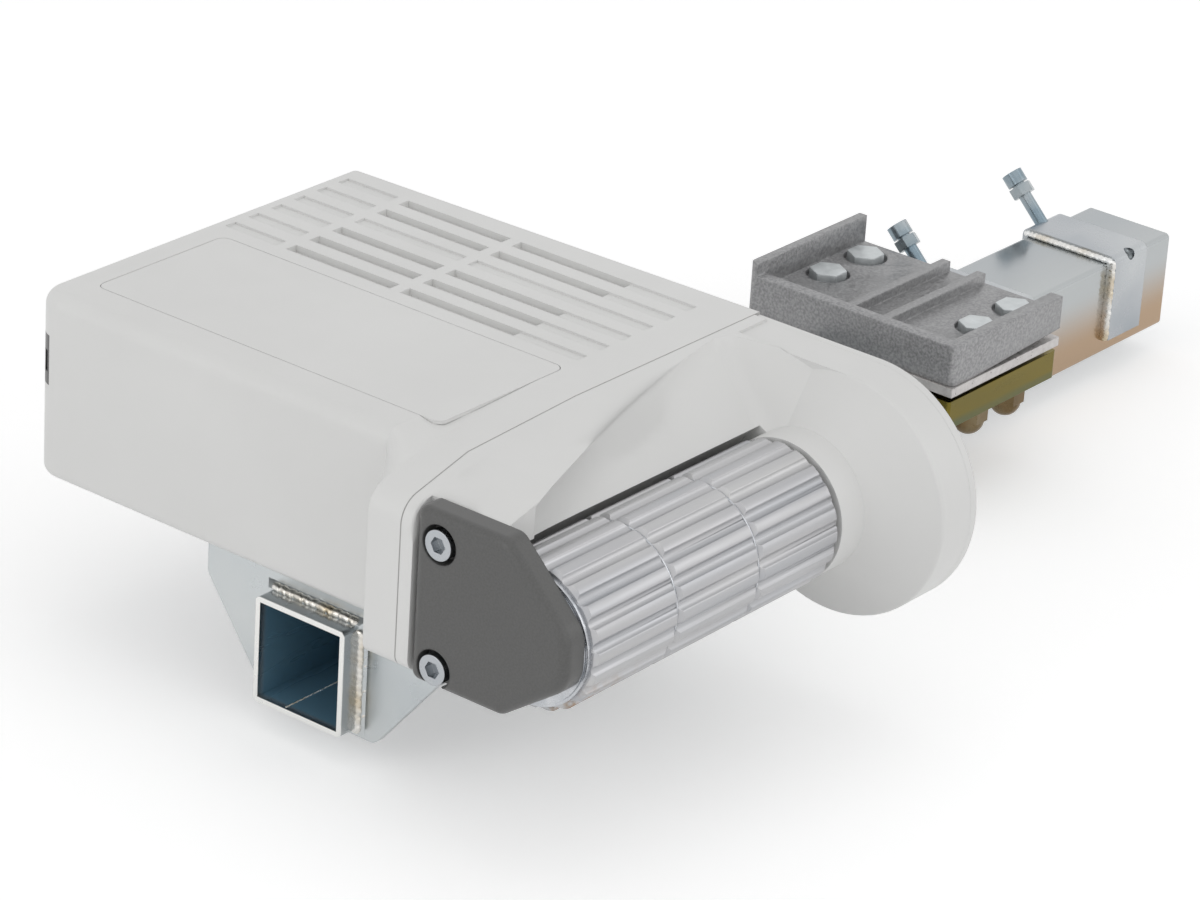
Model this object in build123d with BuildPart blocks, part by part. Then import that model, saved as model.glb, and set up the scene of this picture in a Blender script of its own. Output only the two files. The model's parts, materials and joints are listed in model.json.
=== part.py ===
from build123d import *
import math
import os

os.makedirs("parts", exist_ok=True)

# A caravan motor mover for one wheel, in millimetres. X runs along the square cross tube from
# the wheel end to the chassis clamp and beyond, the toothed roller faces -Y, and Z is up. The
# origin is the middle of the clamp's seat on the tube's top face.

# General
fit = 0.05  # radial clearance of shafts, pins and sleeves
overrun = 6.0  # how far cuts run past the faces they open

# Cross tube
tube_size = 60.0
tube_wall = 3.0
tube_corner = 3.0
tube_reach = 514.0  # from the clamp seat's middle to the tube's wheel end
tube_tail = 244.0  # from there to the other end
tube_length = tube_reach + tube_tail
near_x = -tube_reach
axis_z = -tube_size / 2

# Side plates, welded to the tube, that carry the drive unit
plate_thickness = 4.0
plate_inset = 14.0
plate_spacing = 200.0
plate_rear = 76.0
plate_front = 87.0
plate_top = 62.0
plate_shoulder = 22.0
plate_bottom = 34.0
plate_heel = 34.0
plate_toe = 41.0
plate_corner = 8.0
weld_leg = 4.0
weld_slope = 40.0  # degrees
outboard_plate_x = near_x + plate_inset
inboard_plate_x = outboard_plate_x + plate_spacing

# Guide rods that the unit slides on, in blocks bolted to the plates
rod_diameter = 12.0
rod_height = 46.0
block_width = 30.0
block_length = 14.0
block_height = 27.0
block_setback = 2.0
block_bolt_diameter = 8.0
block_bolt_height = 54.0
block_bolt_depth = 7.5
bolt_head_flats = 13.0
bolt_head_height = 5.3
rod_z = axis_z + rod_height
rod_stations = (
    outboard_plate_x + plate_thickness + block_width / 2,
    inboard_plate_x - block_width / 2,
)
block_front_y = -plate_front + block_setback + block_length / 2
block_rear_y = plate_rear - block_setback - block_length / 2

# Drive unit housing, a moulded shell open underneath
unit_bottom = 45.0
unit_top = 150.0
unit_width = 250.0
unit_rear_width = 243.0
unit_rear = 190.0
seam_front = 91.0
shell_wall = 3.0
rear_corner = 16.0
top_corner = 9.0
bottom_edge = 6.0
roof_wall = 6.0
flange_reach = 33.0
flange_rear = 70.0
flange_root = 52.0
flange_corner = 14.0
flange_foot = 8.0
flange_top = 134.0
knee_x = 15.4
knee_top = 146.35
level_x = 98.0
unit_left = near_x
unit_right = near_x + unit_width
bottom_z = axis_z + unit_bottom
top_z = axis_z + unit_top

# Service lid and the cooling slots in the housing's top
lid_left = 24.3
lid_right = 121.2
lid_front = 65.5
lid_rear = 169.0
lid_thickness = 1.8
lid_gap = 0.35
lid_corner = 6.0
slot_first = 136.5
slot_pitch = 18.1
slot_rows = 6
slot_width = 8.0
slot_depth = 1.2
slot_deep = 4.0
slot_rear = 178.0
slot_bar_rear = 138.0
slot_bar_middle = 58.5
slot_deep_front = 20.0
slot_front = 64.0
slot_bar_width = 7.2
closed_row = 3

# Signal inlay round the rear wheel-side corner
inlay_bottom = 98.0
inlay_top = 126.0
inlay_thickness = 1.5
inlay_front = 178.5
inlay_reach = 60.0
lens_height = 16.0
lens_proud = 0.8
lens_start = 12.0
keyhole_low = 105.0
keyhole_high = 117.0
keyhole_width = 3.0
keyhole_depth = 1.0

# Roller and its shaft
roller_front = 162.7
roller_height = 84.1
roller_radius = 39.5
valley_radius = 37.0
crest_edge_radius = 39.1
rib_count = 20
crest_share = 0.5
section_length = 64.2
section_start = 16.6
ring_width = 1.0
ring_radius = 37.4
section_chamfer = 1.8
shaft_radius = 10.0
disc_radius = 36.0
disc_width = 2.4
roller_y = -roller_front
roller_z = axis_z + roller_height
roller_x = near_x - section_start

# Front cover with the slot for the roller and the gear case
strip_width = 8.0
cheek_front = 147.0
pocket_clearance = 3.5
pocket_right = 193.0
scoop_slope = 35.0  # degrees
scoop_blend = 24.0
fairing_blend = 14.0
hollow_top = 139.0
hollow_level = 8.0
cheek_line = (3.0, 147.0, 143.0)
cheek_foot = (26.0, 130.0, 122.0)
cheek_run = (119.0, 107.0, 138.0)
fairing_top = (221.0, 128.0, 149.5)
fairing_nose = (200.0, 191.0, 110.0)
fairing_foot = (195.0, 136.0, 117.5)
boss_radius = 38.5
case_rim = 2.5
boss_start = 181.0
boss_shoulder = 200.0
case_start = 221.0
case_front = 169.0
case_height = 82.0
case_radius = 66.5
case_lid = 5.0
pocket_radius = roller_radius + pocket_clearance
scoop_fall = math.tan(math.radians(scoop_slope))
case_y = -case_front
case_z = axis_z + case_height
case_x = near_x + case_start
lid_x = unit_right - case_lid

# End bracket that carries the roller's outboard bearing
bracket_face = 34.0
bracket_depth = 14.0
bracket_rear = 101.0
bracket_bottom = 44.0
bracket_top = 138.0
bracket_foot = 158.0
bracket_brow = 157.0
bracket_nose = 197.0
nose_low = 72.0
nose_high = 99.0
bracket_corner = 8.0
nose_corner = 18.0
bracket_edge = 5.0
bracket_back_x = near_x - bracket_face + bracket_depth
screw_diameter = 10.0
screw_head_diameter = 16.0
screw_head_height = 10.0
screw_length = 22.0
socket_flats = 8.0
socket_depth = 5.0
recess_radius = 10.5
recess_depth = 9.0
screw_front = 116.3
screw_high = 121.5
screw_low = 54.3
bearing_radius = 21.0
bearing_width = 12.0
seal_radius = 34.5
seal_bore = 30.0
seal_width = 0.8

# Internal frame of the drive unit
tray_height = 63.5
tray_thickness = 3.0
beam_front = 115.0
beam_thickness = 3.8
beam_top = 126.0
beam_bottom = 46.0
arm_front = 121.5
arm_rear = 108.0
arm_top = 130.0
arm_width = 20.0
arm_clearance = 0.4
arm_x = bracket_back_x + shell_wall
carrier_length = 60.0
carrier_width = 28.0
carrier_start = 8.0
carrier_bottom = 33.0
bush_radius = 10.5
bush_length = 28.0

# Gear train: tooth counts, modules and the directions of the centre lines in degrees
final_teeth = 42
second_pinion_teeth = 10
coarse_module = 2.5
second_teeth = 45
first_pinion_teeth = 16
first_teeth = 36
motor_teeth = 10
fine_module = 2.0
second_angle = 10.0
first_angle = 0.0
motor_angle = 10.0
tip_share = 0.8
root_share = 1.05
flank_angle = 25.0
backlash = 0.25
gear_face = 7.0
gear_gap = 1.5
gear_plate = 4.0
pinion_shaft_radius = 6.0
hub_radius = 9.5
hub_length = 14.0
gear_bearing_radius = 30.0
bearing_start = 195.5
bearing_ledge = 15.0
train_x = case_x + shell_wall + gear_plate + gear_gap
second_x = train_x + gear_face + gear_gap

# Drive motor
motor_radius = 36.0
motor_length = 160.0
motor_cap_length = 14.0
motor_cap_radius = 33.0
motor_bore_depth = 24.0
motor_shaft_radius = 5.0

# Engaging gearmotor, its pinion and the rack on the tube
rack_base = 7.6
rack_width = 10.0
rack_teeth = 11
rack_station = 118.0
pinion_teeth = 10
pinion_rear = 22.0
engage_radius = 14.0
engage_length = 56.0
engage_gap = 2.0
engage_shaft_radius = 4.0
engage_bore_depth = 10.0

# Control electronics on the tray
board_left = 30.0
board_length = 120.0
board_width = 70.0
board_thickness = 1.6
board_front = 90.0
standoff_height = 6.0
standoff_radius = 4.0
relay_size = 26.0
relay_height = 24.0
terminal_length = 60.0
terminal_width = 14.0
terminal_height = 16.0
terminal_gap = 6.0

# Collars that slide on the tube and lock with square-corner screws
collar_length = 34.0
collar_wall = 4.0
collar_skirt = 20.0
collar_corner = 5.0
collar_gap = 5.5
collar_tail = 31.0
set_screw_diameter = 8.0
set_screw_station = 17.0
set_screw_stand = 29.0
set_head_diameter = 13.0
set_head_height = 8.0
set_socket_flats = 6.0
set_socket_depth = 4.0
lock_nut_flats = 13.0
lock_nut_height = 6.5
lock_nut_gap = 1.2

# Chassis clamp
clamp_length = 107.0
clamp_width = 146.0
clamp_offset = -4.0
spacer_thickness = 5.5
spacer_shift = 1.5
spacer_lip = 1.0
casting_floor = 21.5
casting_rim = 30.0
casting_rear_rim = 38.0
rim_side = 8.5
rim_rear = 5.5
casting_corner = 4.0
rib_width = 6.0
rib_top = 27.5
rib_rear_place = 5.0
rib_front_place = 20.0
jaw_start = -34.0
jaw_opening = 4.5
clamp_bolt_diameter = 12.0
clamp_bolt_pitch_x = 37.0
clamp_bolt_pitch_y = 106.0
clamp_bolt_x = 15.5
clamp_head_flats = 19.0
clamp_head_height = 7.5
clamp_head_top = 24.5
head_pocket_radius = 13.0
head_pocket_depth = 4.5
bolt_clearance = 0.5
bar_top = -4.0
bar_depth = 17.0
bar_gap = 0.2
bar_front_width = 45.8
bar_rear_width = 37.8
bar_corner = 2.0
washer_radius = 12.0
washer_thickness = 2.5
nut_hex_height = 12.0
nut_dome_radius = 9.3
nut_bore_depth = 16.0
clamp_bolt_reach = 13.5


def save(piece, name):
    """Label a finished piece and write it as one STEP file."""
    piece.label = name
    export_step(piece, "parts/" + name + ".step")


def hexagon(flats):
    """Hexagon by its width across the flats."""
    return RegularPolygon(radius=flats / 2, side_count=6, major_radius=False)


# Cross tube
with BuildPart() as cross_tube:
    with BuildSketch(Plane.YZ.offset(near_x)):
        with Locations((0, axis_z)):
            RectangleRounded(tube_size, tube_size, tube_corner)
            Rectangle(tube_size - 2 * tube_wall, tube_size - 2 * tube_wall, mode=Mode.SUBTRACT)
    extrude(amount=tube_length)
save(cross_tube.part, "cross_tube")


def side_plate(face_x, weld_plane):
    """Plate with the tube through it and a weld bead on the side that shows."""
    with BuildPart() as plate:
        with BuildSketch(Plane.YZ.offset(face_x)):
            with BuildLine():
                FilletPolyline(
                    (plate_rear, axis_z + plate_top),
                    (plate_rear, axis_z + plate_shoulder),
                    (plate_heel, axis_z - plate_bottom),
                    (-plate_toe, axis_z - plate_bottom),
                    (-plate_front, axis_z + plate_shoulder),
                    (-plate_front, axis_z + plate_top),
                    radius=plate_corner,
                    close=True,
                )
            make_face()
            with Locations(
                (block_front_y, axis_z + block_bolt_height), (block_rear_y, axis_z + block_bolt_height)
            ):
                Circle(block_bolt_diameter / 2 + fit, mode=Mode.SUBTRACT)
        extrude(amount=plate_thickness)
        with BuildSketch(weld_plane):
            Rectangle(tube_size + 2 * weld_leg, tube_size + 2 * weld_leg)
        extrude(amount=weld_leg, taper=weld_slope)
        with BuildSketch(Plane.YZ.offset(near_x)):
            with Locations((0, axis_z)):
                RectangleRounded(tube_size, tube_size, tube_corner)
        extrude(amount=tube_length, mode=Mode.SUBTRACT)
    return plate.part


outboard_weld = Plane(origin=(outboard_plate_x, 0, axis_z), x_dir=(0, -1, 0), z_dir=(-1, 0, 0))
inboard_weld = Plane(
    origin=(inboard_plate_x + plate_thickness, 0, axis_z), x_dir=(0, 1, 0), z_dir=(1, 0, 0)
)
save(side_plate(outboard_plate_x, outboard_weld), "side_plate_outboard")
save(side_plate(inboard_plate_x, inboard_weld), "side_plate_inboard")

# Guide rods and their blocks
with BuildPart() as guide_rods:
    with BuildSketch(Plane.XZ.offset(plate_front - block_setback)):
        with Locations(*[(station, rod_z) for station in rod_stations]):
            Circle(rod_diameter / 2)
    extrude(amount=-(plate_front + plate_rear - 2 * block_setback))
save(guide_rods.part, "guide_rods")

block_middle = axis_z + rod_height
with BuildPart() as rod_blocks:
    with Locations(
        *[(x, y, block_middle) for x in rod_stations for y in (block_front_y, block_rear_y)]
    ):
        Box(block_width, block_length, block_height)
    with BuildSketch(Plane.XZ.offset(plate_front)):
        with Locations(*[(station, rod_z) for station in rod_stations]):
            Circle(rod_diameter / 2 + fit)
    extrude(amount=-(plate_front + plate_rear), mode=Mode.SUBTRACT)
    block_faces = (rod_stations[0] - block_width / 2, rod_stations[1] + block_width / 2)
    for face, direction in zip(block_faces, (1, -1)):
        with BuildSketch(Plane.YZ.offset(face)):
            with Locations(
                (block_front_y, axis_z + block_bolt_height), (block_rear_y, axis_z + block_bolt_height)
            ):
                Circle(block_bolt_diameter / 2 + fit)
        extrude(amount=direction * (block_bolt_depth + fit), mode=Mode.SUBTRACT)
save(rod_blocks.part, "rod_blocks")

with BuildPart() as block_bolts:
    for face, direction in ((outboard_plate_x, 1), (inboard_plate_x + plate_thickness, -1)):
        with BuildSketch(Plane.YZ.offset(face)):
            with Locations(
                (block_front_y, axis_z + block_bolt_height), (block_rear_y, axis_z + block_bolt_height)
            ):
                Circle(block_bolt_diameter / 2)
        extrude(amount=direction * (plate_thickness + block_bolt_depth))
        with BuildSketch(Plane.YZ.offset(face)):
            with Locations(
                (block_front_y, axis_z + block_bolt_height), (block_rear_y, axis_z + block_bolt_height)
            ):
                hexagon(bolt_head_flats)
        extrude(amount=-direction * bolt_head_height)
save(block_bolts.part, "block_bolts")

# Collars and their locking screws
saddle_outer = tube_size / 2 + collar_wall


collar_edges = [clamp_length / 2 + collar_gap, tube_tail - collar_tail - collar_length]


def collar(near_edge):
    """Inverted channel over the tube with a tapped hole through each top corner."""
    middle_x = near_edge + set_screw_station
    with BuildPart() as saddle:
        with BuildSketch(Plane.YZ.offset(near_edge)):
            with BuildLine():
                FilletPolyline(
                    (saddle_outer, axis_z - collar_skirt),
                    (saddle_outer, axis_z + saddle_outer),
                    (-saddle_outer, axis_z + saddle_outer),
                    (-saddle_outer, axis_z - collar_skirt),
                    radius=(0, collar_corner, collar_corner, 0),
                    close=True,
                )
            make_face()
            with Locations((0, axis_z)):
                RectangleRounded(tube_size + 2 * fit, tube_size + 2 * fit, tube_corner, mode=Mode.SUBTRACT)
                Rectangle(tube_size + 2 * fit, 2 * collar_skirt, mode=Mode.SUBTRACT)
        extrude(amount=collar_length)
        for side in (1, -1):
            with BuildSketch(Plane(origin=(middle_x, 0, axis_z), z_dir=(0, side, 1))):
                Circle(set_screw_diameter / 2 + fit)
            extrude(amount=2 * saddle_outer, mode=Mode.SUBTRACT)
    return saddle.part


save(collar(collar_edges[0]), "collar_near")
save(collar(collar_edges[1]), "collar_far")

corner_share = math.sqrt(2) - 1
tube_corner_reach = tube_size / 2 * math.sqrt(2) - tube_corner * corner_share
screw_head_reach = saddle_outer * math.sqrt(2) + set_screw_stand - set_head_height / 2
with BuildPart() as set_screws:
    for edge in collar_edges:
        corner = Plane(origin=(edge + set_screw_station, 0, axis_z), z_dir=(0, 1, 1))
        with BuildSketch(corner.offset(tube_corner_reach)):
            Circle(set_screw_diameter / 2)
        extrude(amount=screw_head_reach - tube_corner_reach)
        with BuildSketch(corner.offset(screw_head_reach)):
            Circle(set_head_diameter / 2)
        extrude(amount=set_head_height)
        with BuildSketch(corner.offset(screw_head_reach + set_head_height - set_socket_depth)):
            hexagon(set_socket_flats)
        extrude(amount=set_socket_depth, mode=Mode.SUBTRACT)
save(set_screws.part, "set_screws")

with BuildPart() as lock_nuts:
    for edge in collar_edges:
        corner = Plane(origin=(edge + set_screw_station, 0, axis_z), z_dir=(0, 1, 1))
        with BuildSketch(corner.offset(screw_head_reach - lock_nut_height - lock_nut_gap)):
            hexagon(lock_nut_flats)
            Circle(set_screw_diameter / 2 + fit, mode=Mode.SUBTRACT)
        extrude(amount=lock_nut_height)
save(lock_nuts.part, "lock_nuts")

# Chassis clamp: spacer, casting, bars under the chassis flange and four bolts
clamp_bolts_at = [
    (clamp_bolt_x + i * clamp_bolt_pitch_x / 2, clamp_offset + j * clamp_bolt_pitch_y / 2)
    for i in (-1, 1)
    for j in (-1, 1)
]
bolt_hole_radius = clamp_bolt_diameter / 2 + bolt_clearance
with BuildPart() as clamp_spacer:
    with BuildSketch(Plane.XY):
        with Locations((-spacer_shift, clamp_offset)):
            Rectangle(clamp_length, clamp_width + 2 * spacer_lip)
        with Locations(*clamp_bolts_at):
            Circle(bolt_hole_radius, mode=Mode.SUBTRACT)
    extrude(amount=spacer_thickness)
save(clamp_spacer.part, "clamp_spacer")

clamp_rear_y = clamp_offset + clamp_width / 2
pocket_width = clamp_width - rim_side - rim_rear
pocket_y = clamp_offset + (rim_side - rim_rear) / 2
with BuildPart() as clamp_casting:
    with BuildSketch(Plane.XY.offset(spacer_thickness)):
        with Locations((0, clamp_offset)):
            Rectangle(clamp_length, clamp_width)
    extrude(amount=casting_rear_rim - spacer_thickness)
    fillet(clamp_casting.edges().filter_by(Axis.Z).group_by(Axis.X)[0], casting_corner)
    with BuildSketch(Plane.XY.offset(casting_rim)):
        with Locations((0, clamp_offset - rim_rear)):
            Rectangle(clamp_length, clamp_width)
    extrude(amount=casting_rear_rim, mode=Mode.SUBTRACT)
    with BuildSketch(Plane.XY.offset(casting_floor)):
        with Locations((rim_side, pocket_y)):
            Rectangle(clamp_length, pocket_width)
    extrude(amount=casting_rim, mode=Mode.SUBTRACT)
    with BuildSketch(Plane.XY.offset(casting_floor)):
        with Locations(*[(rim_side / 2, place) for place in (rib_rear_place, -rib_front_place)]):
            Rectangle(clamp_length - rim_side, rib_width)
    extrude(amount=rib_top - casting_floor)
    with BuildSketch(Plane.XY.offset(casting_floor)):
        with Locations(*clamp_bolts_at):
            Circle(head_pocket_radius)
    extrude(amount=-head_pocket_depth, mode=Mode.SUBTRACT)
    with BuildSketch(Plane.XY):
        with Locations(*clamp_bolts_at):
            Circle(bolt_hole_radius)
    extrude(amount=casting_rim, mode=Mode.SUBTRACT)
    with BuildSketch(Plane.XZ.offset(-clamp_rear_y)):
        with BuildLine():
            Polyline(
                (jaw_start, spacer_thickness),
                (clamp_length / 2, spacer_thickness),
                (clamp_length / 2, spacer_thickness + jaw_opening),
                close=True,
            )
        make_face()
    extrude(amount=clamp_width, mode=Mode.SUBTRACT)
save(clamp_casting.part, "clamp_casting")

bar_inner = tube_size / 2 + bar_gap
with BuildPart() as clamp_bars:
    for inner, outer in (
        (-bar_inner, -bar_inner - bar_front_width),
        (bar_inner, bar_inner + bar_rear_width),
    ):
        with BuildSketch(Plane.XY.offset(bar_top)):
            with Locations((0, (inner + outer) / 2)):
                RectangleRounded(clamp_length, abs(outer - inner), bar_corner)
            with Locations(*[place for place in clamp_bolts_at if place[1] * outer > 0]):
                Circle(bolt_hole_radius, mode=Mode.SUBTRACT)
        extrude(amount=-bar_depth)
save(clamp_bars.part, "clamp_bars")

bar_bottom = bar_top - bar_depth
with BuildPart() as clamp_washers:
    with BuildSketch(Plane.XY.offset(bar_bottom)):
        with Locations(*clamp_bolts_at):
            Circle(washer_radius)
            Circle(bolt_hole_radius, mode=Mode.SUBTRACT)
    extrude(amount=-washer_thickness)
save(clamp_washers.part, "clamp_washers")

nut_top = bar_bottom - washer_thickness
with BuildPart() as clamp_nuts:
    with BuildSketch(Plane.XY.offset(nut_top)):
        with Locations(*clamp_bolts_at):
            hexagon(clamp_head_flats)
    extrude(amount=-nut_hex_height)
    with Locations(*[(x, y, nut_top - nut_hex_height) for x, y in clamp_bolts_at]):
        Sphere(nut_dome_radius)
    with BuildSketch(Plane.XY.offset(nut_top)):
        with Locations(*clamp_bolts_at):
            Circle(clamp_bolt_diameter / 2 + fit)
    extrude(amount=-nut_bore_depth, mode=Mode.SUBTRACT)
save(clamp_nuts.part, "clamp_nuts")

with BuildPart() as clamp_bolts:
    with BuildSketch(Plane.XY.offset(clamp_head_top - clamp_head_height)):
        with Locations(*clamp_bolts_at):
            hexagon(clamp_head_flats)
    extrude(amount=clamp_head_height)
    with BuildSketch(Plane.XY.offset(clamp_head_top - clamp_head_height)):
        with Locations(*clamp_bolts_at):
            Circle(clamp_bolt_diameter / 2)
    extrude(amount=-(clamp_head_top - clamp_head_height - nut_top + clamp_bolt_reach))
save(clamp_bolts.part, "clamp_bolts")

# Housing of the drive unit
housing_top = unit_top - unit_bottom


def shell_outline(left, foot, corner_start, corner_end, knee_z):
    """Front view of the shell: round wheel-side corners, knee and level top."""
    right = near_x + level_x
    with BuildSketch(Plane.XY) as outline:
        with BuildLine():
            TangentArc((left + foot, bottom_z), (left, bottom_z + foot), tangent=(-1, 0))
            Line((left, bottom_z + foot), corner_start)
            TangentArc(corner_start, corner_end, tangent=(0, 1))
            Polyline(
                corner_end,
                (near_x + knee_x, knee_z),
                (right, top_z),
                (right, bottom_z),
                (left + foot, bottom_z),
            )
        make_face()
    return outline.sketch


flange_rise = math.atan2(knee_top - flange_top, knee_x + flange_reach)
corner_setback = flange_corner * math.tan((math.pi / 2 - flange_rise) / 2)
flange_left = near_x - flange_reach
flange_corner_start = (flange_left, axis_z + flange_top - corner_setback)
flange_corner_end = (
    flange_left + corner_setback * math.cos(flange_rise),
    axis_z + flange_top + corner_setback * math.sin(flange_rise),
)
box_corner_start = (unit_left, top_z - top_corner)
box_corner_end = (unit_left + top_corner, top_z)


flange_outline = shell_outline(
    flange_left, flange_foot, flange_corner_start, flange_corner_end, axis_z + knee_top
)
box_outline = shell_outline(unit_left, bottom_edge, box_corner_start, box_corner_end, top_z)

# Sloping line of the housing's right-hand side, seen from above
side_taper = (unit_width - unit_rear_width) / (unit_rear + seam_front)


def right_side(y):
    return unit_right - side_taper * (y + seam_front)


# Strip of the inlay round the rear corner, seen from above, and the seat behind its keyhole
with BuildSketch(Plane.XY) as inlay_strip:
    with BuildLine():
        inlay_edge = FilletPolyline(
            (unit_left, inlay_front - rear_corner),
            (unit_left, unit_rear),
            (unit_left + inlay_reach, unit_rear),
            radius=rear_corner,
        )
        offset(inlay_edge, amount=inlay_thickness, side=Side.RIGHT)
    make_face()
    with Locations((unit_left, inlay_front - rear_corner)):
        Rectangle(2 * rear_corner, 2 * rear_corner, mode=Mode.SUBTRACT)
with BuildSketch(Plane.XY) as inlay_seat:
    with Locations((unit_left + rear_corner, unit_rear - rear_corner)):
        Circle(rear_corner - keyhole_depth)

slot_stations = [near_x + slot_first + i * slot_pitch for i in range(slot_rows)]
lid_middle = (near_x + (lid_left + lid_right) / 2, (lid_rear - lid_front) / 2)
with BuildPart() as main_housing:
    with BuildSketch(Plane.XY.offset(bottom_z)):
        with BuildLine():
            FilletPolyline(
                (unit_left, -seam_front),
                (unit_left, unit_rear),
                (right_side(unit_rear), unit_rear),
                (unit_right, -seam_front),
                radius=(0, rear_corner, 0, 0),
                close=True,
            )
        make_face()
    extrude(amount=housing_top)
    roof = main_housing.faces().sort_by(Axis.Z)[-1]
    fillet(roof.edges().sort_by(Axis.Y)[1:].sort_by(Axis.X)[:-1], top_corner)
    floor = main_housing.faces().sort_by(Axis.Z)[0]
    fillet(floor.edges().sort_by(Axis.Y)[1:].sort_by(Axis.X)[:-1], bottom_edge)
    # The front corner on the wheel side swells into the flange for the end bracket
    with BuildSketch(Plane.XY.offset(bottom_z)):
        with BuildLine():
            Polyline(
                (unit_left - overrun, -flange_root),
                (near_x + level_x, -flange_root),
                (near_x + level_x, -seam_front),
                (unit_left - overrun, -seam_front),
                close=True,
            )
        make_face()
    extrude(amount=housing_top, mode=Mode.SUBTRACT)
    with BuildSketch(Plane.XZ.offset(flange_root)):
        add(box_outline)
    with BuildSketch(Plane.XZ.offset(flange_rear)):
        add(flange_outline)
    loft(ruled=True)
    with BuildSketch(Plane.XZ.offset(flange_rear)):
        add(flange_outline)
    extrude(amount=seam_front - flange_rear)
    # Hollow inside, open underneath and at the seam
    with BuildSketch(Plane.XY.offset(bottom_z)):
        with BuildLine():
            FilletPolyline(
                (unit_left + shell_wall, -seam_front),
                (unit_left + shell_wall, unit_rear - shell_wall),
                (right_side(unit_rear) - shell_wall, unit_rear - shell_wall),
                (right_side(-seam_front) - shell_wall, -seam_front),
                radius=(0, rear_corner - shell_wall, rear_corner - shell_wall, 0),
                close=True,
            )
        make_face()
    extrude(amount=knee_top - unit_bottom - shell_wall - top_corner, mode=Mode.SUBTRACT)
    with BuildSketch(Plane.XY.offset(bottom_z)):
        with BuildLine():
            FilletPolyline(
                (near_x + level_x, -seam_front),
                (near_x + level_x, unit_rear - shell_wall),
                (right_side(unit_rear) - shell_wall, unit_rear - shell_wall),
                (right_side(-seam_front) - shell_wall, -seam_front),
                radius=(0, 0, rear_corner - shell_wall, 0),
                close=True,
            )
        make_face()
    extrude(amount=housing_top - roof_wall, mode=Mode.SUBTRACT)
    with BuildSketch(Plane.XZ.offset(seam_front)):
        with BuildLine():
            Polyline(
                (unit_left + shell_wall + top_corner, bottom_z),
                (unit_left + shell_wall + top_corner, axis_z + knee_top - roof_wall),
                (near_x + level_x, top_z - roof_wall),
                (near_x + level_x + overrun, bottom_z),
                close=True,
            )
        make_face()
    extrude(amount=-(seam_front + unit_rear - rear_corner), mode=Mode.SUBTRACT)
    with BuildSketch(Plane.XZ.offset(seam_front)):
        with BuildLine():
            Polyline(
                (flange_left + shell_wall, bottom_z),
                (flange_left + shell_wall, axis_z + flange_top - flange_corner),
                (near_x, axis_z + flange_top),
                (near_x + shell_wall, axis_z + flange_top),
                (near_x + shell_wall, bottom_z),
                close=True,
            )
        make_face()
    extrude(amount=-(seam_front - flange_rear - shell_wall), mode=Mode.SUBTRACT)
    # Recess for the service lid
    with BuildSketch(Plane.XY.offset(top_z - lid_thickness)):
        with Locations(lid_middle):
            RectangleRounded(lid_right - lid_left, lid_rear + lid_front, lid_corner)
    extrude(amount=overrun, mode=Mode.SUBTRACT)
    # Shallow channels with deep slots between the cross bars
    with BuildSketch(Plane.XY.offset(top_z)):
        for station in slot_stations:
            for rear, front in (
                (slot_rear, slot_bar_rear + slot_bar_width / 2),
                (slot_bar_rear - slot_bar_width / 2, slot_bar_middle + slot_bar_width / 2),
                (slot_bar_middle - slot_bar_width / 2, -slot_front),
            ):
                with Locations((station, (rear + front) / 2)):
                    Rectangle(slot_width, rear - front)
    extrude(amount=-slot_depth, mode=Mode.SUBTRACT)
    with BuildSketch(Plane.XY.offset(top_z)):
        for row, station in enumerate(slot_stations):
            if row != slot_rows - closed_row:
                for rear, front in (
                    (slot_bar_rear - slot_bar_width / 2, slot_bar_middle + slot_bar_width / 2),
                    (slot_bar_middle - slot_bar_width / 2, -slot_deep_front),
                ):
                    with Locations((station, (rear + front) / 2)):
                        Rectangle(slot_width, rear - front)
    extrude(amount=-slot_deep, mode=Mode.SUBTRACT)
    # Recess for the signal inlay
    with BuildSketch(Plane.XY.offset(axis_z + inlay_bottom)):
        add(inlay_strip.sketch)
    extrude(amount=inlay_top - inlay_bottom, mode=Mode.SUBTRACT)
save(main_housing.part, "main_housing")

with BuildPart() as rear_inlay:
    with BuildSketch(Plane.XY.offset(axis_z + inlay_bottom)):
        add(inlay_strip.sketch)
    extrude(amount=inlay_top - inlay_bottom)
    with BuildSketch(Plane.XY.offset(axis_z + keyhole_low)):
        with Locations((unit_left, inlay_front + keyhole_width)):
            Rectangle(rear_corner, keyhole_width)
        add(inlay_seat.sketch, mode=Mode.SUBTRACT)
    extrude(amount=keyhole_high - keyhole_low, mode=Mode.SUBTRACT)
save(rear_inlay.part, "rear_inlay")

lens_bottom = axis_z + (inlay_bottom + inlay_top - lens_height) / 2
with BuildPart() as indicator_lens:
    with BuildSketch(Plane.XY.offset(lens_bottom)):
        with BuildLine():
            Polyline(
                (unit_left + rear_corner, unit_rear),
                (unit_left + inlay_reach - lens_start, unit_rear),
                (unit_left + inlay_reach - lens_start, unit_rear + lens_proud),
                (unit_left + rear_corner, unit_rear + lens_proud),
                close=True,
            )
        make_face()
    extrude(amount=lens_height)
save(indicator_lens.part, "indicator_lens")

with BuildPart() as top_lid:
    with BuildSketch(Plane.XY.offset(top_z - lid_thickness)):
        with Locations(lid_middle):
            RectangleRounded(
                lid_right - lid_left - 2 * lid_gap, lid_rear + lid_front - 2 * lid_gap, lid_corner - lid_gap
            )
    extrude(amount=lid_thickness)
save(top_lid.part, "top_lid")


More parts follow.
